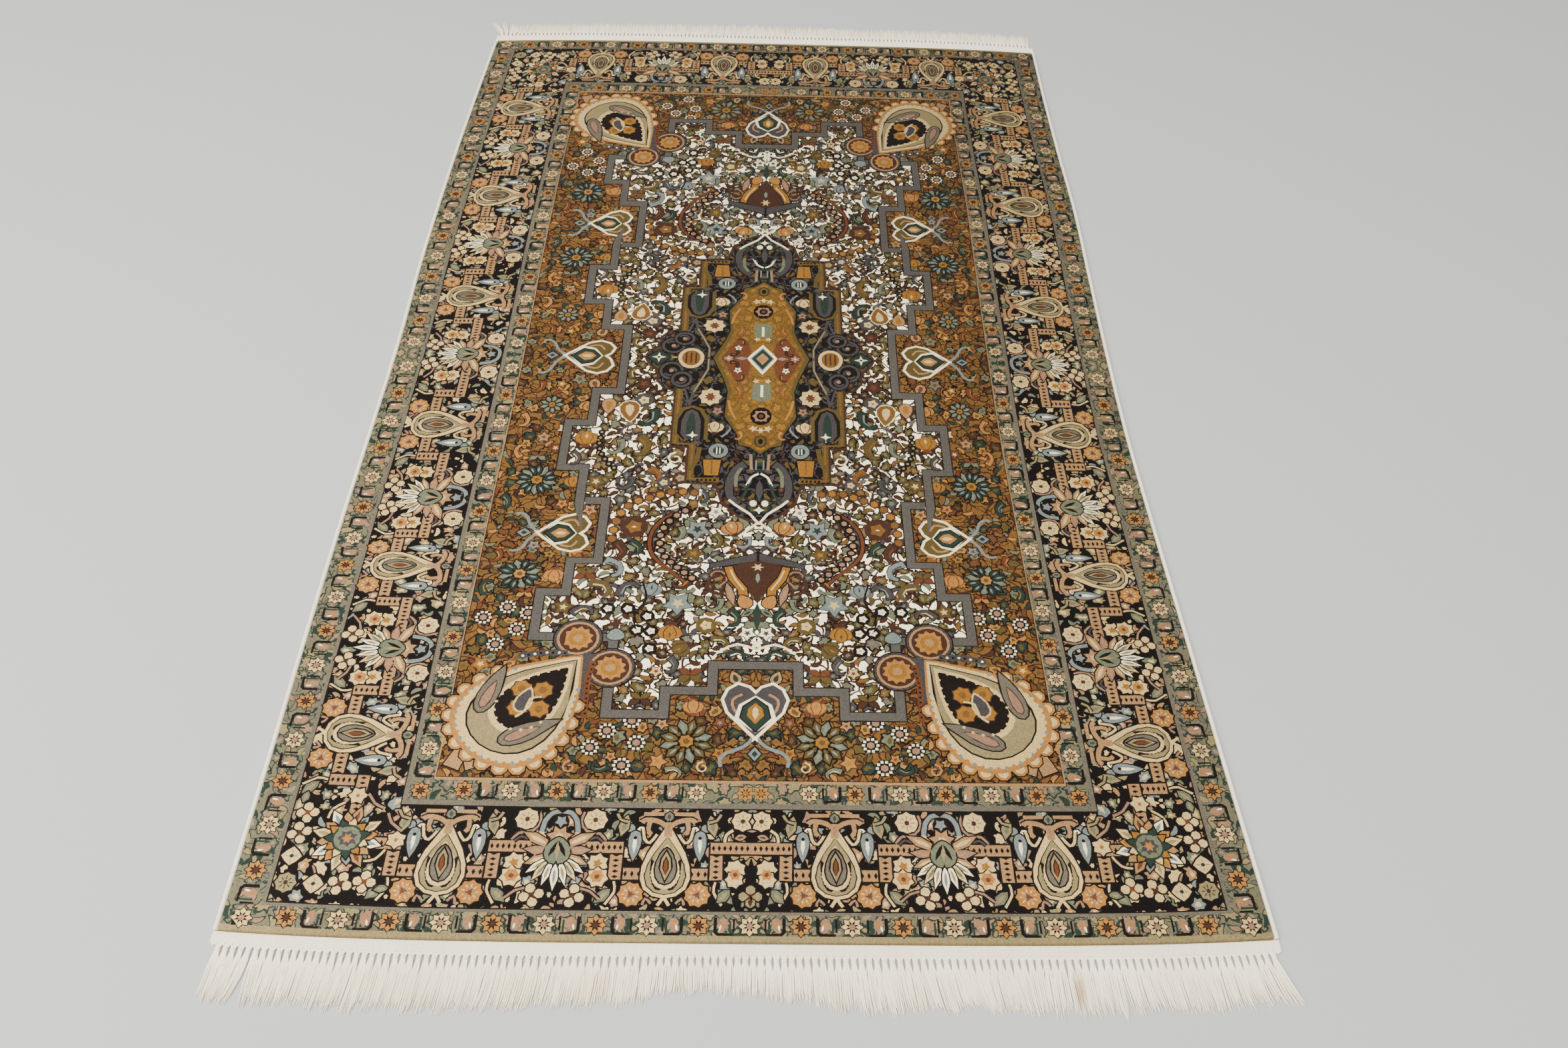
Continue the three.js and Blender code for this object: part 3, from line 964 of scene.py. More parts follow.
def ivory_flowers(c):
    """What grows on the ivory ground, from the middle outwards to the corner."""
    sow(c, [
        (floret, 118 + 38j, 11, 0, "brown", "rust"),
        (ringed, 116 + 60j, 9.5, 0, "cream", "plum", "plum"),
        (curled_leaf, 129 + 22j, 9, 170, "olive", "cream"),
        (paisley, 129 + 74j, 14, 6, "ochre", "cream", "white"),
        (curled_leaf, 109 + 84j, 13, -20, "teal", "mist"),
        (paisley, 150 + 68j, 10, 0, "peach", "gold", "brown"),
        (scroll, 127 + 103j, 9, 0, "plum", "cream"),
        (curled_leaf, 113 + 122j, 14, 12, "olive", "ochre", "brown"),
        (curled_leaf, 137 + 124j, 11, -15, "sage", "plum"),
        (blossom, 167 + 115j, 12, 180, "gold", "cream", "rust"),
        (curled_leaf, 175 + 139j, 9, 20, "plum", "cream"),
        (scroll, 80 + 137j, 8, 0, "white", "brown"),
        (floret, 152 + 168j, 9.5, 10, "olive", "cream", "brown"),
        (curled_leaf, 98 + 160j, 11, 30, "ochre", "rust", "brown"),
        (ringed, 74 + 162j, 8, 0, "straw", "plum", "brown"),
        (ringed, 89 + 168j, 7, 0, "cream", "plum", "plum"),
        (curled_leaf, 124 + 170j, 10, -30, "plum", "teal"),
        (floret, 55 + 224j, 12, 0, "mist", "teal", "plum"),
        (curled_leaf, 71 + 230j, 9, -8, "sage", "mist"),
        (blossom, 23 + 224j, 11, 200, "apricot", "cream", "brown"),
        (curled_leaf, 37 + 238j, 9, 10, "olive", "sage"),
        (curled_leaf, 12 + 240j, 8, -20, "mist", "ink", "plum"),
        (floret, 57 + 254j, 10, 20, "olive", "gold", "brown"),
        (ringed, 112 + 222j, 13, 0, "ochre", "cream", "brown"),
        (curled_leaf, 124 + 253j, 13, 10, "brown", "rust"),
        (curled_leaf, 109 + 248j, 10, 30, "teal", "sage"),
        (curled_leaf, 126 + 275j, 13, 38, "mist", "plum"),
        (butterfly, 150 + 283j, 9, 0, "rust", "olive", "brown"),
        (curled_leaf, 66 + 294j, 9, -60, "brown", "gold"),
        (floret, 68 + 316j, 13.5, 0, "mist", "cream", "teal"),
        (blossom, 92 + 303j, 10, 170, "mist", "teal", "plum"),
        (curled_leaf, 112 + 300j, 11, 140, "plum", "mist"),
        (curled_leaf, 135 + 300j, 12, 60, "olive", "cream", "plum"),
        (floret, 165 + 322j, 9, 30, "olive", "cream", "brown"),
        (curled_leaf, 148 + 326j, 10, 110, "plum", "cream"),
        (blossom, 73 + 346j, 11, 0, "gold", "olive", "brown"),
        (blossom, 61 + 364j, 10, -60, "olive", "gold", "brown"),
        (curled_leaf, 20 + 332j, 10, 20, "teal", "sage"),
        (ringed, 43 + 340j, 9, 0, "cream", "sage", "olive"),
        (curled_leaf, 36 + 318j, 9, -30, "sage", "teal"),
        (curled_leaf, 30 + 358j, 9, 70, "olive", "cream"),
        (floret, 8 + 348j, 8, 0, "white", "plum", "teal"),
        (curled_leaf, 16 + 372j, 8, 95, "teal", "white"),
        (butterfly, 54 + 393j, 10, 0, "olive", "rust", "brown"),
        (curled_leaf, 70 + 384j, 9, 10, "plum", "sage"),
        (floret, 82 + 390j, 6, 0, "cream", "rust", "brown"),
        (butterfly, 93 + 418j, 9, 0, "brown", "olive"),
        (scroll, 33 + 296j, 13, 0, "brown", "sage"),
        (curled_leaf, 33 + 276j, 7, -40, "brown", "plum"),
        (curled_leaf, 52 + 184j, 9, 30, "plum", "mist"),
        (floret, 39 + 203j, 8, 0, "white", "mist", "brown"),
    ])
    for place in (110 + 323j, 127 + 323j, 93 + 331j, 89 + 347j, 89 + 366j, 101 + 346j):
        with c.placed(place):
            ringed(c, 6.6, "white", "pink", "ink")
    c.stem([102 + 345j, 104 + 330j, 95 + 312j, 100 + 292j], 1.6, "ink")
    # the sickle of dark-ringed flowers with its red stem, the almonds and the beads
    sickle = [67 + 202j, 78 + 211j, 86 + 224j, 88 + 240j, 84 + 256j, 75 + 269j, 64 + 281j, 54 + 290j]
    almonds = [60 + 180j, 80 + 179j, 97 + 186j, 113 + 192j, 125 + 205j, 130 + 224j, 131 + 243j]
    beads = [153 + 104j, 154 + 120j, 150 + 134j, 141 + 147j, 133 + 153j]
    for width, dye in ((3.2 + VINE_RIM, "ink"), (3.2, "rust")):
        c.line([p + 9 + 2j for p in curve(sickle)], width, dye)
    for line, pitch, outer, rim, inner, dyes in (
        (sickle, 9.4, 5.2, "ink", 3.0, ["pink", "peach"]),
        (almonds, 10.6, 5.4, "brown", 3.9, ["ochre", "gold"]),
        (beads, 7.4, 4, "ink", 1.6, ["straw"]),
    ):
        chain(c, curve(line), outer, pitch, [rim])
        chain(c, curve(line), inner, pitch, dyes)
    # the lily on the axis, with its roof and cup
    for _ in c.both():
        c.edged([252j, 42 + 268j, 42 + 274j, 263j], "plum")
        c.lay([262j, 24 + 271j, 11 + 302j, 308j], "brown")
        for width, dye in ((5, "brown"), (1.6, "pink")):
            c.line(spiral(36 + 285j, 11, 0.85, 1.9, 0.3), width, dye)
        c.edged(ribbon(curve([26 + 272j, 22 + 286j, 13 + 299j, 13 + 314j]), 7, 1.2), "gold", "ink", 1.1)
        c.stem([24 + 276j, 20 + 287j, 12 + 300j], 1.8, "cream")
        c.edged(drop(15 + 306j, 7 + 320j, 11, 10, 0.6), "apricot", "ink", 1.0)
        leaf(c, 27 + 292j, 20 + 318j, 7, "pink", "peach")
        leaf(c, 3 + 322j, 14 + 330j, 6, "sage", "teal")
        c.stem([366j, 16 + 360j, 30 + 368j, 36 + 376j], 2.4, "white")
        c.stem([4 + 374j, 18 + 368j, 33 + 372j], 2, "teal")
    c.lay(star(272j, 6, 2.4, 6), "cream")
    c.lay(lance(280j, 292j, 4), "mist")
    c.lay(lance(292j, 316j, 8), "brown")
    c.lay(lance(314j, 346j, 7), "teal")
    c.lay(star(360j, 7, 3, 4, 0.78), "white")


def medallion(c):
    """The dark medallion with its stepped olive edge."""
    ground = [
        -1 - 1j, 118 - 1j, 118 + 1j, 112 + 12j, 104 + 17j, 104 + 33j, 97 + 42j, 85 + 46j, 85 + 120j,
        68 + 121j, 68 + 167j, 40 + 168j, 34 + 190j, 19 + 206j, -1 + 217j,
    ]
    c.edged(ground, "dusk", "brown", 2.4)
    for width, dye in ((7, "olive"), (2.2, "ochre")):
        c.line([82 + 44j, 82 + 117j, 65 + 118j, 65 + 163j, 38 + 164j], width, dye)
    chain(c, [42 + 164j, 62 + 164j], 1.5, 4, ["ink"])


def beside_the_heart(c):
    """The medallion's vines, rings, daisies and hooded flowers."""
    c.stem([54 - 20j, 55 - 1j, 55 + 16j, 61 + 32j, 68 + 48j, 71 + 66j], 3.2, "plum")
    c.stem([55 + 2j, 55 + 16j, 61 + 32j, 68 + 48j], 1.2, "straw")
    c.stem([79 + 36j, 75 + 52j, 71 + 66j], 2.4, "plum")
    for centre, r in ((92 + 19j, 12.5), (81 + 31j, 11)):
        c.edged(dot(centre, r, 14), "plum", "ink", 1.2)
        c.lay(dot(centre, r - 3, 12), "ink")
        c.line(spiral(centre, r - 4.5, 0.8, 0.5, 0.3), 2.6, "plum")
        c.lay(dot(centre, 2.6), "pink")
    c.line([72, 104], 2.6, "straw")
    c.edged(oval(73, 13.5, 15.5, 16), "cream", "ink", 1)
    c.lay(oval(73, 9.6, 11.6, 14), "ochre")
    for across in (-5, 0, 5):
        c.line([complex(73 + across, -8), complex(73 + across, 8)], 1.7, "brown")
    c.edged(chip(106, 12, 0, 1), "teal")
    c.lay(star(106, 7.5, 2.4, 4), "white")
    c.lay(chip(106, 2, 0, 1), "teal")
    daisy(c, 51 + 54j, 12, "cream", "rust", "brown", 8, 0.8)
    sow(c, [
        (floret, 43 + 73j, 5.5, 0, "pink", "rust", "plum"),
        (blossom, 45 + 97j, 10, 180, "cream", "apricot", "brown"),
        (floret, 66 + 108j, 5.5, 0, "white", "rust"),
    ])
    c.stem([31 + 84j, 30 + 98j, 38 + 108j], 2, "mist")
    # a hood: places across by its width, heights, and which points each smaller one raises
    hood = (
        (-1, 112, 0), (-1, 82, 1), (-0.6, 70, 1), (0, 66, 1),
        (0.6, 70, 1), (1, 82, 1), (1, 104, 0), (0.5, 112, 0),
    )
    for width, lift, dye in ((17, 0, "olive"), (13, 3, "ink"), (9.5, 5, "plum"), (4.5, 9, "teal")):
        c.lay([complex(68 + width * across, h + lift * raised) for across, h, raised in hood], dye)
    c.lay(star(66 + 106j, 5.5, 2, 4), "white")
    c.edged(dot(40 + 126j, 9.5, 12), "mist")
    c.lay(dot(40 + 126j, 5.4, 8), "teal")
    for x in (38.5, 41.5):
        c.line([x + 122j, x + 130j], 1.2, "white")
    c.edged([37 + 138j, 54 + 138j, 52 + 158j, 39 + 158j], "gold")
    c.line([45.5 + 139j, 45.5 + 156j], 2, "ochre")
    c.stem([58 + 122j, 60 + 138j, 66 + 152j], 5, "olive")


def golden_heart(c):
    """The medallion's golden heart."""
    rim = [
        -1 - 1j, 50 - 1j, 50 + 1j, 45 + 12j, 38 + 31j, 34 + 46j, 36 + 66j, 36 + 80j, 29 + 93j, 23 + 104j,
        21 + 118j, 10 + 121j, -1 + 131j,
    ]
    ground = [
        -1 - 1j, 45 - 1j, 45 + 1j, 41 + 12j, 34 + 30j, 30.5 + 46j, 33 + 66j, 33 + 79j, 26 + 92j, 20 + 104j,
        17 + 114j, -1 + 127j,
    ]
    c.edged(rim, "olive", "ink", 1.2)
    c.lay(ground, "honey")
    c.lay([12 - 1j, 41 - 1j, 41 + 1j, 36 + 13j, 30 + 26j, 24 + 33j, 14 + 24j], "rust")
    c.stem([33 + 58j, 30 + 72j, 25 + 84j], 2.4, "apricot")
    sow(c, [
        (floret, 25 + 17j, 4.6, 0, "white", "rust", "brown"),
        (floret, 35, 5.6, 0, "pink", "cream", "brown"),
        (curled_leaf, 28 + 8j, 5, 60, "brown", "gold"),
        (curled_leaf, 22 + 28j, 6, -20, "brown", "apricot", "rust"),
        (curled_leaf, 24 + 47j, 9, 8, "ochre", "apricot", "rust"),
        (curled_leaf, 21 + 106j, 6, 0, "apricot", "gold", "rust"),
    ])


def heart_axis(c):
    """The figures on the medallion's long axis, from the middle outwards."""
    c.lay([-1 - 24j, 17, -1 + 24j], "ink")
    for r, slim, dye in (
        (23, 0.7, "white"), (18, 0.7, "mist"), (15.5, 0.72, "teal"), (9, 0.75, "peach"),
        (4, 0.8, "apricot"),
    ):
        c.lay(chip(0, r, math.pi / 2, slim), dye)
    c.lay(chip(21, 7, 0, 0.35), "mist")
    c.lay([-1 + 34j, 9 + 36j, 10 + 56j, -1 + 60j], "sage")
    for _ in c.both():
        c.lay(star(6 + 32j, 4, 1.8, 5), "cream")
        c.lay(star(7 + 96j, 5, 2.4, 5), "cream")
        c.line([9 + 130j, 8 + 150j], 3, "pink")
        c.line([3.6 + 138j, 3.6 + 150j], 1.6, "mist")
    c.lay([-1.4 + 37j, 1.4 + 37j, 1.4 + 53j, -1.4 + 53j], "white")
    c.lay(oval(79j, 11, 12, 12), "ink")
    c.lay(star(79j, 9, 6.6, 7), "pink")
    c.lay(oval(79j, 4.8, 5.2, 8), "ink")
    c.lay(dot(79j, 2.6), "rust")
    c.lay(star(98j, 4.6, 2, 5), "cream")
    c.edged(oval(113j, 5, 7, 10), "olive", "brown", 1.4)
    c.lay(oval(113j, 2.4, 3.6, 8), "ink")


def pendant(c):
    """The curled leaves and stems at the medallion's tip."""
    for _ in c.both():
        c.stem([1 + 155j, 8 + 160j, 12 + 170j], 2.4, "white")
        leaf_line = curve([14 + 143j, 22 + 150j, 28 + 166j, 27 + 184j, 18 + 192j])
        c.edged(ribbon(leaf_line, 9, 0.7), "plum")
        c.stem([17 + 148j, 22 + 158j, 22 + 172j], 3.2, "sage")
        c.stem([10 + 168j, 14 + 182j, 21 + 190j], 3, "teal")
        c.stem([217j, 8 + 205j, 22 + 194j, 28 + 188j], 2.6, "white")
        c.stem([214j, 8 + 222j, 16 + 230j], 2.4, "white")
        c.lay(oval(5.5 + 192j, 3.6, 4, 8), "white")
    c.edged(lance(163j, 190j, 7), "plum", "ink", 0.8)
    c.lay(star(200j, 5, 2.4, 4), "white")
    c.lay(dot(195j, 1.6, 5), "rust")


def field(c):
    """The field, from its rust ground up to the medallion."""
    ground = stepped_ground()
    field_flowers(c)
    for h, reach in ((0, 46), (231, 42)):
        with c.placed(complex(154, h), -1j):
            forked_drop(c, reach, "olive", "apricot")
    c.edged(grown(ground, 4.6), "slate", "ink", 1.0)
    c.lay(grown(ground, -3.4), "ink")
    c.lay(grown(ground, -4.4), "ivory")
    ivory_flowers(c)
    corner_curls(c)
    corner_drop(c)
    with c.placed(404j):
        forked_drop(c, 50, "plum", "gold")
    for draw in (medallion, beside_the_heart, golden_heart, heart_axis, pendant):
        draw(c)


def design():
    """The whole quarter, from the rim to the middle."""
    c = Chart()
    c.frame_band((HALF_WIDTH, HALF_LENGTH), "straw")
    c.frame_band((HALF_WIDTH, HALF_LENGTH - 4.5), "lichen")
    outer_guard(c)
    c.frame_band((BORDER_OUT[0] + 4, BORDER_OUT[1] + 3.4), "ash")
    c.frame_band((BORDER_OUT[0] + 1, BORDER_OUT[1] + 1), "ink")
    c.frame_band(BORDER_OUT, "night")
    main_border(c)
    c.frame_band((BORDER_IN[0] + 0.9, BORDER_IN[1] + 0.9), "ink")
    c.frame_band(BORDER_IN, "ash")
    c.frame_band((BORDER_IN[0] - 3.6, BORDER_IN[1] - 4.5), "lichen")
    inner_guard(c)
    c.frame_band((FIELD[0] + 1.6, FIELD[1] + 3), "peach")
    c.frame_band((FIELD[0] + 0.6, FIELD[1] + 0.6), "ink")
    c.frame_band(FIELD, "field")
    field(c)
    return c


# The pile


def shapes_in(shapes, low, high):
    """The parts of dyed shapes that lie in a rectangle; of the least ones, only their points."""
    found, loose = [], []
    for outline, dye in shapes:
        xs, ys = [p.real for p in outline], [p.imag for p in outline]
        if max(xs) <= low.real or min(xs) >= high.real or max(ys) <= low.imag or min(ys) >= high.imag:
            continue
        for normal, reach in ((1, low.real), (1j, low.imag), (-1, -high.real), (-1j, -high.imag)):
            outline = clipped(outline, normal, reach) if outline else outline
        outline = [p for i, p in enumerate(outline) if abs(p - outline[i - 1]) > 1e-3]
        if len(outline) > 2 and abs(turning(outline)) > LEAST_PATCH:
            found.append((from_corner(outline), dye))
        else:
            loose += outline
    return found, loose


def from_corner(outline):
    """An outline begun at its leftmost corner and run anticlockwise there, even if it crosses itself."""
    first = min(range(len(outline)), key=lambda i: (outline[i].real, outline[i].imag))
    outline = outline[first:] + outline[:first]
    before, after = outline[0] - outline[-1], outline[1] - outline[0]
    if (before.conjugate() * after).imag < 0:
        outline = [outline[0], *outline[:0:-1]]
    return outline


def patches(outlines, loose):
    """Outlines that lie over each other, cut into triangles that know which outlines they lie in."""
    for attempt in range(ATTEMPTS):
        points, faces = [Vector((p.real, p.imag)) for p in loose], []
        for outline in outlines:
            faces.append(list(range(len(points), len(points) + len(outline))))
            points += [Vector((p.real, p.imag)) for p in outline]
        cut = delaunay_2d_cdt(points, [], faces, 1, CLOSEST, True)
        # an outline that crosses itself may be read as all that lies round it, so it is put in order
        flooding = set()
        for face, over in zip(cut[2], cut[5]):
            x, h = (sum(cut[0][i][k] for i in face) / 3 for k in (0, 1))
            for k in over:
                xs, hs = [p.real for p in outlines[k]], [p.imag for p in outlines[k]]
                if max(min(xs) - x, x - max(xs), min(hs) - h, h - max(hs)) > FLOODED:
                    flooding.add(k)
        if not flooding:
            break
        for k in flooding:
            if attempt:
                hull = convex_hull_2d([Vector((p.real, p.imag)) for p in outlines[k]])
                outlines[k] = [outlines[k][i] for i in hull[attempt:] + hull[:attempt]]
            else:
                middle = sum(outlines[k]) / len(outlines[k])
                outlines[k] = from_corner(sorted(outlines[k], key=lambda p: cmath.phase(p - middle)))
    return cut


def mend(bm, reach):
    """Fills anew the few spots where an edge has a face too many or too few."""
    for _ in range(MENDINGS):
        bad = []
        for e in bm.edges:
            a, b = (v.co for v in e.verts)
            rim = max(a.x, b.x) < SLIVER or max(a.y, b.y) < SLIVER
            rim = rim or min(a.x, b.x) > reach.real - SLIVER or min(a.y, b.y) > reach.imag - SLIVER
            if not rim and len(e.link_faces) != 2:
                bad.append(e)
        round_them = {f for e in bad for f in e.link_faces}
        before = {e for e in bm.edges if e.is_boundary}
        bmesh.ops.delete(bm, geom=list(round_them), context="FACES")
        bmesh.ops.delete(bm, geom=[e for e in bm.edges if e.is_wire], context="EDGES")
        bmesh.ops.delete(bm, geom=[v for v in bm.verts if not v.link_edges], context="VERTS")
        holes = [e for e in bm.edges if e.is_boundary and (e not in before or e in bad)]
        shared = [v for e in holes for v in e.verts]
        ends = sorted({v for v in shared if shared.count(v) == 1}, key=lambda v: tuple(v.co))
        holes += [bm.edges.get(pair) or bm.edges.new(pair) for pair in zip(ends[::2], ends[1::2])]
        for face in bmesh.ops.holes_fill(bm, edges=holes, sides=0)["faces"]:
            beside = [f.material_index for e in face.edges for f in e.link_faces if f is not face]
            face.material_index = max(beside, key=beside.count, default=0)


def design_bmesh():
    """The quarter's design as flat faces, one for each patch of dye that shows."""
    names = list(DYES)
    shapes = design().shapes
    reach = complex(HALF_WIDTH - RIM, HALF_LENGTH - RIM)
    bm = bmesh.new()
    for tile in range(TILES_ACROSS * TILES_ALONG):
        column, row = tile % TILES_ACROSS, tile // TILES_ACROSS
        step = complex(reach.real / TILES_ACROSS, reach.imag / TILES_ALONG)
        low = complex(step.real * column, step.imag * row)
        found, loose = shapes_in(shapes, low, low + step)
        cut = patches([outline for outline, _ in found], loose)
        verts = [bm.verts.new((p[0], p[1], PILE_THICKNESS)) for p in cut[0]]
        for face, over in zip(cut[2], cut[5]):
            top = found[max(over, default=0)][1]
            bm.faces.new([verts[i] for i in face]).material_index = names.index(top)
    bmesh.ops.remove_doubles(bm, verts=bm.verts, dist=WELD)
    # slivers that lie along a mirror line would be doubled there
    slivers = [f for f in bm.faces if any(all(v.co[k] < SLIVER for v in f.verts) for k in (0, 1))]
    bmesh.ops.delete(bm, geom=slivers, context="FACES")
    inner = [e for e in bm.edges if not any(v.is_boundary for v in e.verts)]
    bmesh.ops.dissolve_degenerate(bm, dist=HALF_A_KNOT, edges=inner)
    mend(bm, reach)
    bmesh.ops.dissolve_limit(
        bm, angle_limit=NEARLY_STRAIGHT, use_dissolve_boundaries=False, verts=bm.verts, edges=bm.edges,
        delimit={"MATERIAL"},
    )
    # long lines get points on the way, to follow the rug's uneven outline
    for edge in bm.edges[:]:
        parts = 1 + int(edge.calc_length() / LONGEST_LINE)
        start = edge.verts[0]
        for left in range(parts, 1, -1):
            start = bmesh.utils.edge_split(edge, start, 1 / left)[1]
    return bm


def pile_rim(bm):
    """The open edges along the pile's outline."""
    return [e for e in bm.edges if e.is_boundary and all(
        max(abs(v.co.x) - HALF_WIDTH, abs(v.co.y) - HALF_LENGTH) > -RIM_REACH for v in e.verts)]


def facing_up(bm):
    """Turns a flat sheet's faces so that they all look up."""
    bmesh.ops.recalc_face_normals(bm, faces=bm.faces)
    if sum(f.normal.z for f in bm.faces) < 0:
        bmesh.ops.reverse_faces(bm, faces=bm.faces)


def rim_points(bm, edges):
    """The new points of a wall drawn out from a sheet's open edges."""
    made = bmesh.ops.extrude_edge_only(bm, edges=edges)["geom"]
    return [g for g in made if isinstance(g, bmesh.types.BMVert)]


def finished(bm, name):
    """A shape as a mesh."""
    mesh = bpy.data.meshes.new(name)
    bm.to_mesh(mesh)
    bm.free()
    return mesh


def pile_mesh():
    """The knotted cloth: the design mirrored over the whole rug, with a soft rim and a back."""
    bm = design_bmesh()
    for axis in ("X", "Y"):
        bmesh.ops.mirror(bm, geom=bm.verts[:] + bm.edges[:] + bm.faces[:], axis=axis, merge_dist=1e-3)
    facing_up(bm)
    for out, z in RIM_STEPS:
        for v in rim_points(bm, pile_rim(bm)):
            for k, half in ((0, HALF_WIDTH), (1, HALF_LENGTH)):
                if abs(v.co[k]) > half - 1:
                    v.co[k] += math.copysign(out, v.co[k])
            v.co.z += z
    bmesh.ops.triangle_fill(bm, use_beauty=True, edges=pile_rim(bm))
    weave(bm)
    bmesh.ops.triangulate(bm, faces=bm.faces)
    # slivers that two patches share along a line are left out of both
    alike = {}
    for face in bm.faces:
        alike.setdefault(frozenset(face.verts), []).append(face)
    doubled = [f for group in alike.values() if len(group) > 1 for f in group]
    bmesh.ops.delete(bm, geom=doubled, context="FACES")
    bmesh.ops.recalc_face_normals(bm, faces=bm.faces)
    for v in bm.verts:
        v.co = placed_at(*v.co)
    mesh = finished(bm, "pile")
    dye_faces(mesh)
    return mesh


def weave(bm):
    """Puts each point where it was woven, and keeps its place in the design for the filling."""
    spots = np.array([v.co for v in bm.verts])
    chart = bm.verts.layers.float_vector.new("chart")
    for v in bm.verts:
        v[chart] = abs(v.co.x), abs(v.co.y), 0
    woven = np.stack(woven_at(spots[:, 0], spots[:, 1]), 1)
    woven += np.random.default_rng(1).uniform(-POINT_STRAY, POINT_STRAY, woven.shape)
    for v, (x, y) in zip(bm.verts, woven.tolist()):
        v.co = x, y, max(v.co.z, 0)


def dye_faces(mesh):
    """Gives each face its dye, the number of its filling, and flat texture coordinates."""
    colours = np.array([linear(code) for code in DYES.values()], np.float32)
    number, counts = (np.zeros(len(mesh.polygons), np.int32) for _ in range(2))
    mesh.polygons.foreach_get("material_index", number)
    mesh.polygons.foreach_get("loop_total", counts)
    mesh.polygons.foreach_set("material_index", 0 * number)
    filled = np.array([FILLINGS.get(dye, (0,))[0] for dye in DYES], np.float32)
    mesh.attributes.new("filling", "FLOAT", "FACE").data.foreach_set("value", filled[number])
    layer = mesh.color_attributes.new("silk", "FLOAT_COLOR", "CORNER")
    layer.data.foreach_set("color", colours[np.repeat(number, counts)].ravel())
    spots = np.zeros(3 * len(mesh.vertices), np.float32)
    mesh.vertices.foreach_get("co", spots)
    corner = np.zeros(len(mesh.loops), np.int32)
    mesh.loops.foreach_get("vertex_index", corner)
    low, high = (np.array(c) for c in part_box("pile_cloth"))
    at = (spots.reshape(-1, 3)[corner, :2] - low[:2]) / (high - low)[1]
    mesh.uv_layers.new(name="OFBake").uv.foreach_set("vector", at.astype(np.float32).ravel())


# Materials


def add(tree, kind, *values, **more):
    """Adds a node. Plain values fill its sockets in order, a capital names a socket, other words set it."""
    node = tree.nodes.new(f"ShaderNode{kind}")
    for name in filter(str.islower, more):
        setattr(node, name, more[name])
    named = [(node.inputs[name], more[name]) for name in more if not name.islower()]
    for socket, value in [*zip((s for s in node.inputs if s.enabled), values), *named]:
        if isinstance(value, bpy.types.Node):
            value = next(s for s in value.outputs if s.enabled)
        if isinstance(value, bpy.types.NodeSocket):
            tree.links.new(value, socket)
        else:
            socket.default_value = value
    return node


def new_material(name, finish):
    """A material with the values of its finish on the shader's own sockets."""
    material = bpy.data.materials.new(name)
    material.use_nodes = True
    tree = material.node_tree
    bsdf = tree.nodes["Principled BSDF"]
    for socket, value in finish.items():
        bsdf.inputs[socket].default_value = value
    return material, tree, bsdf


def dyed(tree, bsdf, dye, shade, bump):
    """Gives the shader a dye in its shades, and a relief."""
    colour = add(tree, "VectorMath", dye, shade, operation="SCALE")
    tree.links.new(colour.outputs["Vector"], bsdf.inputs["Base Color"])
    tree.links.new(bump.outputs["Normal"], bsdf.inputs["Normal"])


def one_of(tree, value, dyes):
    """One of some dyes, picked by a number from 0 to 1."""
    ramp = add(tree, "ValToRGB", value)
    stops = ramp.color_ramp
    stops.interpolation = "CONSTANT"
    for k, dye in enumerate(dyes):
        stop = stops.elements[k] if k < 2 else stops.elements.new(k / len(dyes))
        stop.position = k / len(dyes)
        stop.color = linear(DYES[dye])
    return ramp


def scattered(tree, chart, pitch, curl, half_sizes, petals=0):
    """Leaves or petalled flowers strewn one to a cell: how far a point lies from the middle of its own one,
    which is 1 at the edge, and a number that each one has."""
    cell = add(tree, "TexVoronoi", Vector=chart, Scale=1 / pitch, Randomness=0.8, voronoi_dimensions="2D")
    pick = add(tree, "SeparateColor", cell.outputs["Color"])
    off = add(tree, "VectorMath", chart, cell.outputs["Position"], operation="SUBTRACT")
    angle = add(tree, "Math", pick, math.tau, operation="MULTIPLY")
    turned = add(tree, "VectorRotate", Vector=off, Angle=angle, rotation_type="Z_AXIS")
    place = add(tree, "SeparateXYZ", turned)
    square = add(tree, "Math", place, place, operation="MULTIPLY")
    bent = add(tree, "Math", square, curl, place.outputs[1], operation="MULTIPLY_ADD")
    wide = add(tree, "Math", place, half_sizes[0], operation="DIVIDE")
    high = add(tree, "Math", bent, half_sizes[1], operation="DIVIDE")
    reach = add(tree, "VectorMath", add(tree, "CombineXYZ", wide, high), operation="LENGTH")
    if petals:
        way = add(tree, "Math", high, wide, operation="ARCTAN2")
        turns = add(tree, "Math", way, petals, operation="MULTIPLY")
        wave = add(tree, "Math", turns, operation="COSINE")
        share = add(tree, "Math", wave, PETAL_DEPTH, 1, operation="MULTIPLY_ADD")
        reach = add(tree, "Math", reach, share, operation="MULTIPLY")
    return reach, pick.outputs[1]


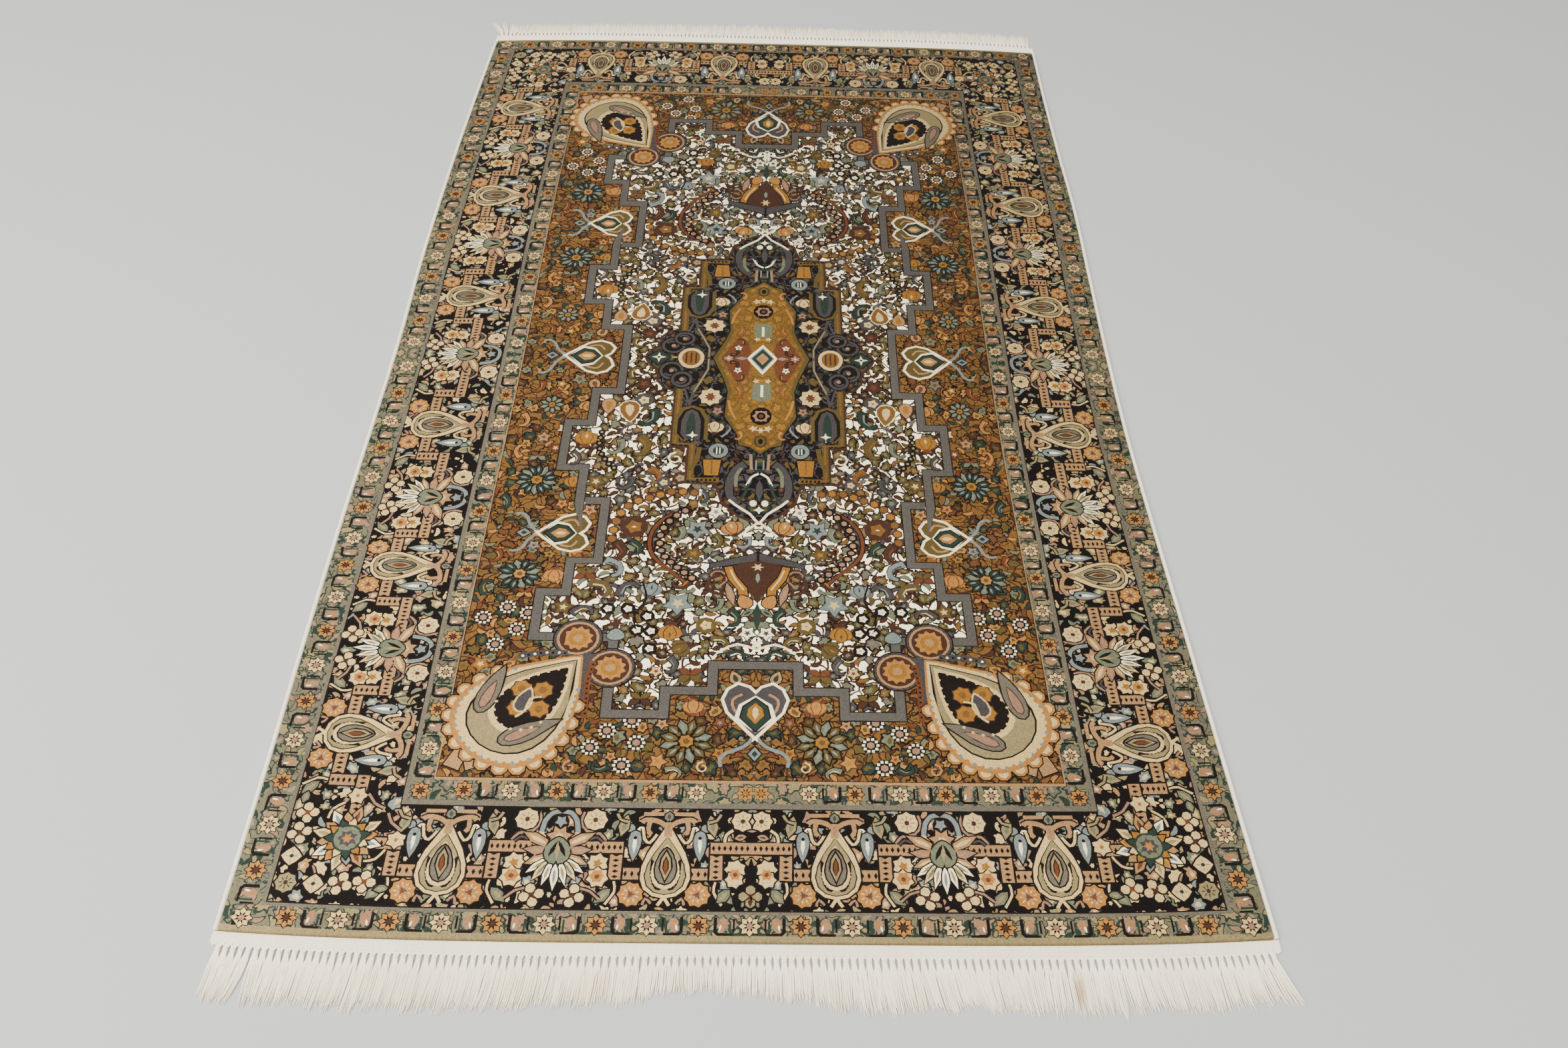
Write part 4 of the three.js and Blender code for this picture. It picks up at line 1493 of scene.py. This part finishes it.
def filled_grounds(tree, dye):
    """The grounds' small filling: vines, leaves and florets, each ground in its own dyes."""
    chart = add(tree, "Attribute", attribute_name="chart").outputs["Vector"]
    ground = add(tree, "Attribute", attribute_name="filling").outputs["Fac"]
    sway = add(tree, "TexNoise", Vector=chart, Scale=1 / SWAY_PITCH, Detail=1, noise_dimensions="2D")
    swayed = add(tree, "VectorMath", sway.outputs["Color"], SWAY, chart, operation="MULTIPLY_ADD")
    vine = add(tree, "TexVoronoi", Vector=swayed, Scale=1 / VINE_PITCH, voronoi_dimensions="2D",
               feature="DISTANCE_TO_EDGE")
    leaf_at, leaf_pick = scattered(tree, chart, *LEAVES)
    flower_at, flower_pick = scattered(tree, swayed, *FLOWERS)
    for number, dyes, rim, stem in FILLINGS.values():
        rim = linear(DYES[rim])
        colour = dye
        for reach, limit, shade in (
            (vine, VINE_WIDTH, linear(DYES[stem])),
            (leaf_at, RIM_AT, rim),
            (leaf_at, 1, one_of(tree, leaf_pick, dyes)),
            (flower_at, RIM_AT, rim),
            (flower_at, 1, one_of(tree, flower_pick, dyes)),
            (flower_at, HEART_AT, linear(DYES[dyes[2]])),
        ):
            inside = add(tree, "Math", reach, limit, operation="LESS_THAN")
            colour = add(tree, "Mix", inside, colour, shade, data_type="RGBA")
        here = add(tree, "Math", ground, number, 0.1, operation="COMPARE")
        dye = add(tree, "Mix", here, dye, colour, data_type="RGBA")
    return dye


def silk_pile():
    """Knotted silk, sheared short: a soft lustre, and every knot a little its own shade."""
    # sheared ends of silk scatter the light, so it is matt for silk, with a faint sheen at low angles
    material, tree, bsdf = new_material("silk_pile_sheared", {
        "Roughness": 0.65, "IOR": 1.3, "Specular IOR Level": 0.12, "Sheen Weight": 0.02,
        "Sheen Roughness": 0.4,
    })
    place = add(tree, "TexCoord").outputs["Object"]
    dye = filled_grounds(tree, add(tree, "Attribute", attribute_name="silk").outputs["Color"])
    knot = add(tree, "VectorMath", place, (KNOT * MM, KNOT * MM, 1), operation="SNAP")
    each = add(tree, "TexWhiteNoise", Vector=knot, noise_dimensions="2D")
    patch = add(tree, "TexNoise", Vector=place, Scale=1 / (SHADE_PATCH * MM), Detail=3)
    shade = add(tree, "MapRange", each, 0, 1, 0.8, 1.15)
    broad = add(tree, "MapRange", patch, 0.3, 0.7, 0.8, 0.96)
    # painted sheen and light fall-off (lean): the colour is paler towards the near left and deeper towards
    # the far right, over the broad patches
    lean = add(tree, "VectorMath", place, (-0.4, -0.32, 0), operation="DOT_PRODUCT")
    patches_and_painted_sheen = add(tree, "Math", lean, broad, broad, operation="MULTIPLY_ADD")
    cells = add(tree, "TexVoronoi", Vector=place, Scale=1 / (KNOT * MM))
    bump = add(tree, "Bump", Strength=0.35, Distance=0.4 * MM, Height=cells)
    dyed(tree, bsdf, dye, add(tree, "Math", shade, patches_and_painted_sheen, operation="MULTIPLY"), bump)
    return material


def wound_yarn(name, colour, stain=None):
    """Cotton or silk yarn, twisted and matt, faintly soiled in patches and stained round one spot."""
    # twisted fibres catch no highlight, only a little fuzz at low angles
    material, tree, bsdf = new_material(name, {"Roughness": 0.75, "Sheen Weight": 0.15})
    place = add(tree, "TexCoord").outputs["Object"]
    fine = add(tree, "TexNoise", Vector=place, Scale=1 / (TWIST * MM), Detail=2)
    soil = add(tree, "TexNoise", Vector=place, Scale=1 / (SOIL_PATCH * MM), Detail=3)
    soiled = [c * share for c, share in zip(colour, SOILED)]
    dye = add(tree, "Mix", soil, list(colour), soiled, data_type="RGBA")
    if stain:
        slim = add(tree, "VectorMath", place, (STAIN_SLIM, 1, 1), operation="MULTIPLY")
        away = add(tree, "VectorMath", slim, (STAIN_SLIM * stain[0], *stain[1:]), operation="DISTANCE")
        share = add(tree, "MapRange", away, STAIN_REACH[0] * MM, STAIN_REACH[1] * MM, 0.75, 0)
        dye = add(tree, "Mix", share, dye, linear(STAIN_TAN), data_type="RGBA")
    bump = add(tree, "Bump", Strength=0.4, Distance=0.2 * MM, Height=fine)
    dyed(tree, bsdf, dye, add(tree, "MapRange", fine, 0, 1, 0.88, 1.12), bump)
    return material


# Pieces


def piece(name, mesh, material, slot, *nodes):
    """A finished piece, riding on the rug's one body."""
    item = bpy.data.objects.new(name, mesh)
    bpy.context.scene.collection.objects.link(item)
    mesh.materials.clear()
    mesh.materials.append(material)
    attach(item, "root")
    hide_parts(*nodes)
    return item


def strands_mesh(name, strands, thickness):
    """Many thin yarns as one mesh: each is a list of points with a share of the thickness."""
    yarns = bpy.data.curves.new(name, "CURVE")
    yarns.dimensions = "3D"
    yarns.bevel_depth = thickness / 2
    yarns.bevel_resolution = 0
    yarns.use_fill_caps = True
    for points in strands:
        spline = yarns.splines.new("POLY")
        spline.points.add(len(points) - 1)
        for at, (x, y, z, share) in zip(spline.points, points):
            at.co = (*placed_at(x, y, z), 1)
            at.radius = share
    holder = bpy.data.objects.new(name, yarns)
    bpy.context.scene.collection.objects.link(holder)
    bpy.context.view_layer.update()
    mesh = bpy.data.meshes.new_from_object(holder.evaluated_get(bpy.context.evaluated_depsgraph_get()))
    bpy.data.objects.remove(holder)
    bpy.data.curves.remove(yarns)
    return mesh


def edge_mesh(side):
    """The overcast edge: a round bar of yarn wound close, its turns a little slanted."""
    radius = EDGE_WIDTH / 2 - TURN_CLEAR
    rings = 2 * int(PILE_LENGTH / TURN_PITCH)
    rng = random.Random(3 + side)
    swells = [(1.0 if k % 2 else TURN_GROOVE) * rng.uniform(*TURN_VARIES) for k in range(rings + 1)]
    bm = bmesh.new()
    bmesh.ops.create_grid(bm, x_segments=TURN_SIDES, y_segments=rings, size=0.5)
    for v in bm.verts:
        a = math.tau * (v.co.x + 0.5)
        k = round((v.co.y + 0.5) * rings)
        share = min(max((k + TURN_SLANT * math.cos(a)) / rings, 0), 1)
        middle = side_at(share, side) + side * (GAP + EDGE_WIDTH / 2)
        x, y = along_at(middle + swells[k] * radius * math.cos(a), share)
        v.co = placed_at(x, y, max(radius * (1 + swells[k] * math.sin(a)), 0))
    bmesh.ops.remove_doubles(bm, verts=bm.verts, dist=1e-6)
    bmesh.ops.holes_fill(bm, edges=[e for e in bm.edges if e.is_boundary], sides=0)
    bmesh.ops.recalc_face_normals(bm, faces=bm.faces)
    mesh = finished(bm, "edge")
    for face in mesh.polygons:
        face.use_smooth = True
    return mesh


def heading_mesh(end):
    """The flat-woven heading beyond the pile, ribbed by its wefts, its outer edge drawn into locks."""
    rows = int(end["heading"] / WEFT_PITCH)
    columns = len(HEADING_EDGE) * LOCKS_PER_END
    outer = GAP + EDGE_WIDTH - HEADING_INSET
    left, right = side_at(end["share"], -1) - outer, side_at(end["share"], 1) + outer
    rng = random.Random(11 + end["side"])
    wobble = [rng.uniform(-HEADING_WOBBLE, HEADING_WOBBLE) for _ in range(columns + 1)]
    bm = bmesh.new()
    bmesh.ops.create_grid(bm, x_segments=columns, y_segments=rows, size=0.5)
    for v in bm.verts:
        u, t = v.co.x + 0.5, v.co.y + 0.5
        row, column = round(t * rows), round(u * columns)
        x = left + (right - left) * u
        reach = GAP + (end["heading"] - HEADING_SHORT) * t
        if row == rows:
            reach += HEADING_EDGE[column % len(HEADING_EDGE)]
        z = HEADING_TOP + HEADING_RIBS[row % 2] + wobble[column]
        v.co = placed_at(x, end_at(x, end) + end["side"] * reach, z)
    facing_up(bm)
    for v in rim_points(bm, [e for e in bm.edges if e.is_boundary]):
        v.co.z = 0
    bmesh.ops.triangle_fill(bm, use_beauty=True, edges=[e for e in bm.edges if e.is_boundary])
    bmesh.ops.recalc_face_normals(bm, faces=bm.faces)
    return finished(bm, "heading")


def lock_at(end, number, rng):
    """Where a lock hangs: its root across the rug, its start beyond the pile, its reach and its lean."""
    left = side_at(end["share"], -1)
    pitch = (side_at(end["share"], 1) - left) / LOCKS_PER_END
    root = left + pitch * (number + 0.5)
    return {
        "side": end["side"], "pitch": pitch, "root": root,
        "start": abs(end_at(root, end)) + GAP + end["heading"] - ROOT_INSIDE,
        "reach": line_through(end["fringe"], 1, number) + rng.uniform(*REACH_STRAYS) + ROOT_INSIDE,
        "lean": line_through(end["fringe"], 2, number) + rng.uniform(-LEAN_STRAYS, LEAN_STRAYS),
    }


def on_lock(lock, across, along, z, thick):
    """A point of a lock, which leans over more and more towards its tip."""
    across += lock["lean"] * (along / lock["reach"]) ** LEAN_BENDS
    return lock["root"] + across, lock["side"] * (lock["start"] + along), z, thick


def loose_yarn(lock, spot, layer, rng):
    """One yarn of a lock: drawn in from the heading to the knot, then open and loose to its tip."""
    tip = lock["reach"] * rng.uniform(*YARN_TIP)
    drift = rng.uniform(-0.5, 0.5)
    bow = rng.uniform(-0.9, 0.9)
    wide = lock["pitch"] * rng.uniform(*YARN_SPREAD)
    points = []
    for t in YARN_STEPS:
        if t <= 1:
            along = KNOT_AT * t
            across = spot * (lock["pitch"] * 0.9 * (1 - t) + NECK_BEFORE * t)
            z = 1.0 + 0.5 * t
        else:
            part = (t - 1) / 7
            along = KNOT_AT + (tip - KNOT_AT) * part
            across = spot * (NECK_AFTER + (wide - NECK_AFTER) * min(part * 3.4, 1))
            across = across + drift * part + bow * part * (1 - part) * 2
            z = 1.5 + (layer - 1.5) * min(part * 1.8, 1)
        thick = 1.0 if t < 6.5 else 0.8 if t < 8 else 0.45
        points.append(on_lock(lock, across, along, max(z, YARN_LOW), thick))
    return points


def knot_round(lock):
    """The knot: one yarn wound twice round the lock."""
    points = []
    for i in range(WINDING_STEPS + 1):
        a = math.tau * WINDINGS * i / WINDING_STEPS
        along = KNOT_AT - 0.7 + 1.7 * i / WINDING_STEPS
        points.append(on_lock(lock, 1.6 * math.cos(a), along, 1.35 + 0.85 * math.sin(a), 1.25))
    return points


def fringe_mesh(end, strand_count, thickness):
    """The fringe of one end, lock by lock, each with its loose yarns in three layers and its knot."""
    rng = random.Random(20 + end["side"])
    strands = []
    for number in range(LOCKS_PER_END):
        lock = lock_at(end, number, rng)
        for k in range(strand_count):
            spot = (k + 0.5) / strand_count - 0.5
            layer = 0.45 + 0.9 * ((k * 5) % 3) / 2
            strands.append(loose_yarn(lock, spot, layer, rng))
        strands.append(knot_round(lock))
    return strands_mesh("fringe", strands, thickness)


# The stage


def place_lamp(scene, name, at, size, power):
    """A soft square lamp that looks at the rug's middle."""
    light = bpy.data.lights.new(name, "AREA")
    light.energy = power
    light.size = size
    lamp = bpy.data.objects.new(name, light)
    lamp.location = at
    lamp.rotation_mode = "QUATERNION"
    lamp.rotation_quaternion = Vector(at).to_track_quat("Z", "Y")
    scene.collection.objects.link(lamp)


def place_eye(scene):
    """The camera, above the near end and looking down the rug."""
    data = bpy.data.cameras.new("eye")
    data.lens = EYE_LENS
    data.sensor_width = 36
    data.sensor_fit = "HORIZONTAL"
    data.clip_start = 0.01
    eye = bpy.data.objects.new("eye", data)
    turned = Matrix()
    for angle, axis in EYE_TURNS:
        turned = turned @ Matrix.Rotation(math.radians(angle), 4, axis)
    eye.matrix_world = Matrix.Translation(placed_at(*EYE_AT)) @ turned
    scene.collection.objects.link(eye)
    scene.camera = eye


# Settings and operators


class RugSizes(bpy.types.PropertyGroup):
    """Sizes of the loose yarns and the floor"""

    strand_count: IntProperty(
        name="Yarns in a lock", description="How many yarns hang from each fringe knot",
        default=12, min=3, max=14,
    )
    strand_thickness: FloatProperty(
        name="Yarn thickness", description="Thickness of one fringe yarn", default=1 * MM,
        min=0.2 * MM, max=2 * MM, unit="LENGTH", subtype="DISTANCE",
    )
    floor_size: FloatProperty(
        name="Floor", description="Side of the plain floor", default=30, unit="LENGTH",
        subtype="DISTANCE",
    )


class RugColours(bpy.types.PropertyGroup):
    """Colours of the yarns and the floor"""

    fringe: FloatVectorProperty(
        name="Fringe", description="Colour of the warp yarns of the fringes", subtype="COLOR", size=4,
        default=linear(YARN_WHITE), min=0, max=1,
    )
    edge: FloatVectorProperty(
        name="Edges", description="Colour of the overcast edges and the woven headings", subtype="COLOR",
        size=4, default=linear(YARN_CREAM), min=0, max=1,
    )
    floor: FloatVectorProperty(
        name="Floor", description="Colour of the plain floor", subtype="COLOR", size=4,
        default=linear(FLOOR_PALE), min=0, max=1,
    )


class RUG_OT_pile(bpy.types.Operator):
    """Makes the knotted pile with its woven design"""

    bl_idname = "rug.pile"
    bl_label = "Knotted Pile"

    def execute(self, context):
        item = piece("pile_cloth_silk", pile_mesh(), silk_pile(), "silk_pile", "pile_cloth")
        return {"FINISHED"}


class RUG_OT_edges(bpy.types.Operator):
    """Makes the overcast edge along each long side"""

    bl_idname = "rug.edges"
    bl_label = "Overcast Edges"

    def execute(self, context):
        yarn = wound_yarn("overcast_yarn_wound", context.scene.rug_colours.edge)
        for name, side in (("left", -1), ("right", 1)):
            piece(f"edge_{name}_wound", edge_mesh(side), yarn, "overcast_yarn", f"edge_{name}")
        return {"FINISHED"}


class RUG_OT_fringes(bpy.types.Operator):
    """Makes the woven heading and the knotted fringe at each end"""

    bl_idname = "rug.fringes"
    bl_label = "Headings and Fringes"

    def execute(self, context):
        sizes, colours = context.scene.rug_sizes, context.scene.rug_colours
        yarn = wound_yarn("warp_yarn_cut", colours.fringe, placed_at(*STAIN_AT))
        cloth = wound_yarn("warp_heading_woven", colours.edge)
        for end in (NEAR_END, FAR_END):
            node = f"fringe_{end['name']}"
            piece(f"heading_{end['name']}_woven", heading_mesh(end), cloth, "warp_yarn", node)
            loose = fringe_mesh(end, sizes.strand_count, sizes.strand_thickness)
            piece(f"{node}_knotted", loose, yarn, "warp_yarn", node)
        return {"FINISHED"}


class RUG_OT_stage(bpy.types.Operator):
    """Makes the plain floor, the soft lights and the camera"""

    bl_idname = "rug.stage"
    bl_label = "Stage"

    def execute(self, context):
        scene = context.scene
        bm = bmesh.new()
        bmesh.ops.create_grid(bm, x_segments=1, y_segments=1, size=scene.rug_sizes.floor_size / 2)
        mesh = finished(bm, "floor")
        floor = bpy.data.objects.new("floor", mesh)
        scene.collection.objects.link(floor)
        # a plain painted floor, half matt, so that only the rug draws the eye
        finish = {"Base Color": scene.rug_colours.floor, "Roughness": 0.7}
        mesh.materials.append(new_material("floor_plain_pale", finish)[0])
        for lamp in LAMPS:
            place_lamp(scene, *lamp)
        world = bpy.data.worlds.new("soft_room")
        world.use_nodes = True
        background = world.node_tree.nodes["Background"]
        background.inputs["Color"].default_value = linear(ROOM_GREY)
        background.inputs["Strength"].default_value = 1.0
        scene.world = world
        place_eye(scene)
        return {"FINISHED"}


OPERATORS = (RUG_OT_stage, RUG_OT_pile, RUG_OT_edges, RUG_OT_fringes)


class RUG_PT_panel(bpy.types.Panel):
    """The rug's settings and the steps that make it"""

    bl_label = "Silk Rug"
    bl_space_type = "VIEW_3D"
    bl_region_type = "UI"
    bl_category = "Rug"

    def draw(self, context):
        for group in (context.scene.rug_sizes, context.scene.rug_colours):
            for name in group.__annotations__:
                self.layout.prop(group, name)
        for operator in OPERATORS:
            self.layout.operator(operator.bl_idname)


CLASSES = (RugSizes, RugColours, *OPERATORS, RUG_PT_panel)


def register():
    """Makes the classes and their settings known."""
    for item in CLASSES:
        bpy.utils.register_class(item)
    bpy.types.Scene.rug_sizes = PointerProperty(type=RugSizes)
    bpy.types.Scene.rug_colours = PointerProperty(type=RugColours)


def unregister():
    """Takes away what register added."""
    del bpy.types.Scene.rug_colours
    del bpy.types.Scene.rug_sizes
    for item in reversed(CLASSES):
        bpy.utils.unregister_class(item)


def main():
    """Builds the stage and the rug."""
    register()
    bpy.ops.rug.stage()
    bpy.ops.rug.pile()
    bpy.ops.rug.edges()
    bpy.ops.rug.fringes()


if __name__ == "__main__":
    main()
